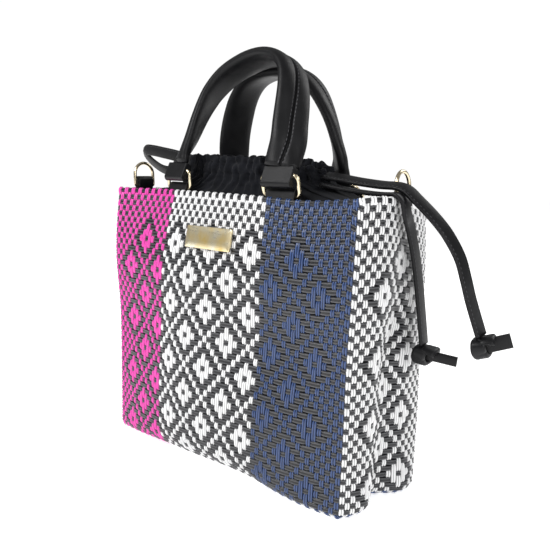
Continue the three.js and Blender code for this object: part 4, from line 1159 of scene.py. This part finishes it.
def strap_frames(line, degrees):
    """Directions across and out of a strap, carried along its line without twist from the axis that its start crosses
    most, then turned about the line"""
    along = tangents_of(line)
    axis = np.eye(3)[2 - np.argmin(np.abs(along[0])[::-1])]
    first = np.cross(along[0], unit(np.cross(along[0], axis)))
    normals = [first]
    for before, after in zip(along[:-1], along[1:]):
        moved = normals[-1] - after * np.dot(normals[-1], after)
        normals.append(unit(moved))
    normal = np.array(normals)
    binormal = np.cross(along, normal)
    c, s = np.cos(np.radians(degrees)), np.sin(np.radians(degrees))
    return normal * c + binormal * s, binormal * c - normal * s, along


def drawstring():
    s = sizes()
    leather = leather_finish("strap_leather", 0.38, 0.6)
    for spec in KNOTS:
        strand = next(one for one in STRANDS if one["knot"] == spec["name"])
        points, faces = knot_mesh(spec, strand)
        new_piece(spec["name"], points, faces, leather, (spec["node"],))
    section = rounded_section(s.strap_width, s.strap_thickness, 0.0011, 4)
    for spec in STRANDS:
        line = through(np.array(spec["route"]) * MM, 90)
        wide, face, along = strap_frames(line, spec["turn"])
        points, faces = swept(line, wide, face, section)
        faces = outward(faces, points)
        piece = new_piece(spec["name"], points, faces, leather, (spec["node"],))
        path = through(np.array(spec["route"]) * MM, 36)
        rows = []
        for sign in (-1, 1):
            place = line + wide * s.strap_width * 0.36 + face * sign * s.strap_thickness / 2
            rows.append(stitch_row(place, face * sign, along, 0.0021, 0.0013, 0.0007, 0.0002))
        thread_points, thread_faces = joined(rows)
        thread = new_piece(spec["name"].replace("leather", "stitches"), thread_points, thread_faces,
                           thread_finish("strap_thread", (0.045, 0.045, 0.05)))


def knot_mesh(spec, strand):
    """Overhand knot: the strap wound one and a half turns round its own run on two crossing tilts, with a flat tail"""
    s = sizes()
    centre = np.array(spec["centre"]) * MM
    tail = np.array(spec["tail"]) * MM
    end = np.array(strand["route"][-1]) * MM
    e1 = unit(tail - centre)
    e2 = unit(np.cross((0, 0, 1), e1))
    e3 = np.cross(e1, e2)
    t = np.linspace(0, 1, 60)
    turn = 2 * np.pi * (1.55 * t - 0.1)
    radius = 0.0056 + 0.0008 * np.sin(3 * turn)
    shift = -0.005 + 0.009 * t + 0.0026 * np.sin(turn + 0.8)
    line = (centre + shift[:, None] * e1 + (radius * 1.15 * np.cos(turn))[:, None] * e2 + (radius * 0.95 * np.sin(turn))[:, None] * e3)
    outward_way = unit(np.cos(turn)[:, None] * e2 + np.sin(turn)[:, None] * e3)
    along = tangents_of(line)
    wide = unit(np.cross(outward_way, along))
    face = np.cross(along, wide)
    coil = swept(line, wide, face, rounded_section(0.0106, 0.0046, 0.0021, 5))
    reach = spec["reach"] * MM
    run = through(np.array([
        end + (centre - end) * 0.1, centre - e1 * 0.001, centre + e1 * 0.004, centre + e1 * reach * 0.6, centre + e1 * reach]), 40)
    run_along = tangents_of(run)
    run_face = unit(np.cross((0, 0, 1.0), run_along))
    run_wide = np.cross(run_along, run_face)
    tongue = swept(run, run_wide, run_face, rounded_section(spec["width"] * MM, 0.0032, 0.0012, 4))
    parts = []
    for points, faces in (coil, tongue):
        parts.append((points, outward(faces, points)))
    return joined(parts)


# ---------------------------------------------------------------- operators
class HANDBAG_OT_stage(bpy.types.Operator):
    """Pale floor, soft light and the camera"""
    bl_idname = "handbag.stage"
    bl_label = "Stage"

    def execute(self, context):
        scene = context.scene
        scene.view_settings.view_transform = "Standard"
        world = bpy.data.worlds.new("studio")
        world.use_nodes = True
        background = world.node_tree.nodes["Background"]
        background.inputs[0].default_value = (1, 1, 1, 1)
        seen = world.node_tree.nodes.new("ShaderNodeLightPath")
        previous = world.node_tree.nodes.new("ShaderNodeValue")
        previous.outputs[0].default_value = 0.5
        for output, share in (("Is Camera Ray", 0.52), ("Is Glossy Ray", -0.22)):
            step = world.node_tree.nodes.new("ShaderNodeMath")
            step.operation = "MULTIPLY_ADD"
            step.inputs[1].default_value = share
            world.node_tree.links.new(seen.outputs[output], step.inputs[0])
            world.node_tree.links.new(previous.outputs[0], step.inputs[2])
            previous = step
        world.node_tree.links.new(previous.outputs[0], background.inputs[1])
        scene.world = world
        x, y = np.meshgrid(np.linspace(-6, 6, 9), np.linspace(-6, 6, 9), indexing="xy")
        mesh = bpy.data.meshes.new("pale_floor")
        points = np.stack([x, y, np.full_like(x, -0.0004)], -1).reshape(-1, 3)
        mesh.from_pydata(points.tolist(), [], grid_quads(9, 9).tolist())
        floor = bpy.data.objects.new("pale_floor", mesh)
        scene.collection.objects.link(floor)
        finish = Finish("pale_floor")
        place = finish.add("ShaderNodeTexCoord", None, 3)
        soft = finish.noise(place, 3.0, 2.0)
        mesh.materials.append(finish.set(
            Base_Color=finish.mix(soft, (0.93, 0.93, 0.93), (0.95, 0.95, 0.95)), Roughness=0.8, Specular_IOR_Level=0.1,
            Emission_Color=(1.0, 1.0, 1.0), Emission_Strength=0.55))
        for name, spot, power, size in (
            ("key", (-0.4, -1.3, 1.3), 21, 0.9), ("fill", (1.5, -0.7, 0.9), 11, 0.9), ("back", (0.3, 1.3, 1.2), 8, 1.0),
        ):
            light = bpy.data.lights.new(name, "AREA")
            light.energy, light.size = power, size
            lamp = bpy.data.objects.new(name, light)
            way = np.array([0.02, 0, 0.16]) - np.array(spot)
            z = -unit(way)
            x_axis = unit(np.cross((0, 0, 1), z))
            y_axis = np.cross(z, x_axis)
            lamp.matrix_world = Matrix([[*r, p] for r, p in zip(np.stack([x_axis, y_axis, z], 1), spot)] + [[0, 0, 0, 1]])
            scene.collection.objects.link(lamp)
        camera = bpy.data.cameras.new("photo_camera")
        camera.sensor_fit, camera.sensor_width, camera.lens = "HORIZONTAL", 36, 36 * 709.4 / 550
        eye = bpy.data.objects.new("photo_camera", camera)
        azimuth, down, roll = np.radians([44.8, 8.8, 0.95])
        ahead = np.array([-np.sin(azimuth) * np.cos(down), np.cos(azimuth) * np.cos(down), -np.sin(down)])
        right = np.array([np.cos(azimuth), np.sin(azimuth), 0])
        up = np.cross(right, ahead)
        rolled_right = np.cos(roll) * right + np.sin(roll) * up
        rolled_up = -np.sin(roll) * right + np.cos(roll) * up
        spot = (0.4442, -0.4263, 0.2619)
        eye.matrix_world = Matrix([[*r, p] for r, p in zip(np.stack([rolled_right, rolled_up, -ahead], 1), spot)] + [[0, 0, 0, 1]])
        scene.collection.objects.link(eye)
        scene.camera = eye
        return {"FINISHED"}


class HANDBAG_OT_drawstring(bpy.types.Operator):
    """Flat leather drawstring with its knots and its left loop"""
    bl_idname = "handbag.drawstring"
    bl_label = "Drawstring"

    def execute(self, context):
        drawstring()
        return {"FINISHED"}


class HANDBAG_OT_weave(bpy.types.Operator):
    """Woven strips of the panels, the floor and the rim, with the inner wall"""
    bl_idname = "handbag.weave"
    bl_label = "Weave"

    def execute(self, context):
        body = Body()
        weave_backing(body)
        weave_panel(body)
        weave_floor(body)
        weave_rim(body)
        return {"FINISHED"}


class HANDBAG_OT_collar(bpy.types.Operator):
    """Gathered cloth collar"""
    bl_idname = "handbag.collar"
    bl_label = "Collar"

    def execute(self, context):
        gathered_collar(Body())
        return {"FINISHED"}


class HANDBAG_OT_handles(bpy.types.Operator):
    """Rolled leather handles with their seams"""
    bl_idname = "handbag.handles"
    bl_label = "Handles"

    def execute(self, context):
        leather_handles()
        return {"FINISHED"}


class HANDBAG_OT_rings(bpy.types.Operator):
    """Metal rings, D-rings and their leather tabs"""
    bl_idname = "handbag.rings"
    bl_label = "Rings and tabs"

    def execute(self, context):
        rings_and_tabs()
        return {"FINISHED"}


class HANDBAG_OT_plate(bpy.types.Operator):
    """Blank metal plate"""
    bl_idname = "handbag.plate"
    bl_label = "Plate"

    def execute(self, context):
        blank_plate()
        return {"FINISHED"}


STEPS_IN_ORDER = ("stage", "drawstring", "weave", "collar", "handles", "rings", "plate")


class HANDBAG_PT_panel(bpy.types.Panel):
    bl_label = "Handbag"
    bl_space_type = "VIEW_3D"
    bl_region_type = "UI"
    bl_category = "Handbag"

    def draw(self, context):
        for group in (context.scene.handbag_sizes, context.scene.handbag_colours):
            for name in group.bl_rna.properties.keys():
                if name not in ("rna_type", "name"):
                    self.layout.prop(group, name)
        for step in STEPS_IN_ORDER:
            self.layout.operator("handbag." + step)


CLASSES = (
    HandbagSizes, HandbagColours, HANDBAG_OT_stage, HANDBAG_OT_drawstring, HANDBAG_OT_weave, HANDBAG_OT_collar,
    HANDBAG_OT_handles, HANDBAG_OT_rings, HANDBAG_OT_plate, HANDBAG_PT_panel,
)


def register():
    for one in CLASSES:
        bpy.utils.register_class(one)
    bpy.types.Scene.handbag_sizes = bpy.props.PointerProperty(type=HandbagSizes)
    bpy.types.Scene.handbag_colours = bpy.props.PointerProperty(type=HandbagColours)


def unregister():
    del bpy.types.Scene.handbag_sizes
    del bpy.types.Scene.handbag_colours
    for one in reversed(CLASSES):
        bpy.utils.unregister_class(one)


def main():
    register()
    for step in STEPS_IN_ORDER:
        getattr(bpy.ops.handbag, step)()


if __name__ == "__main__":
    main()
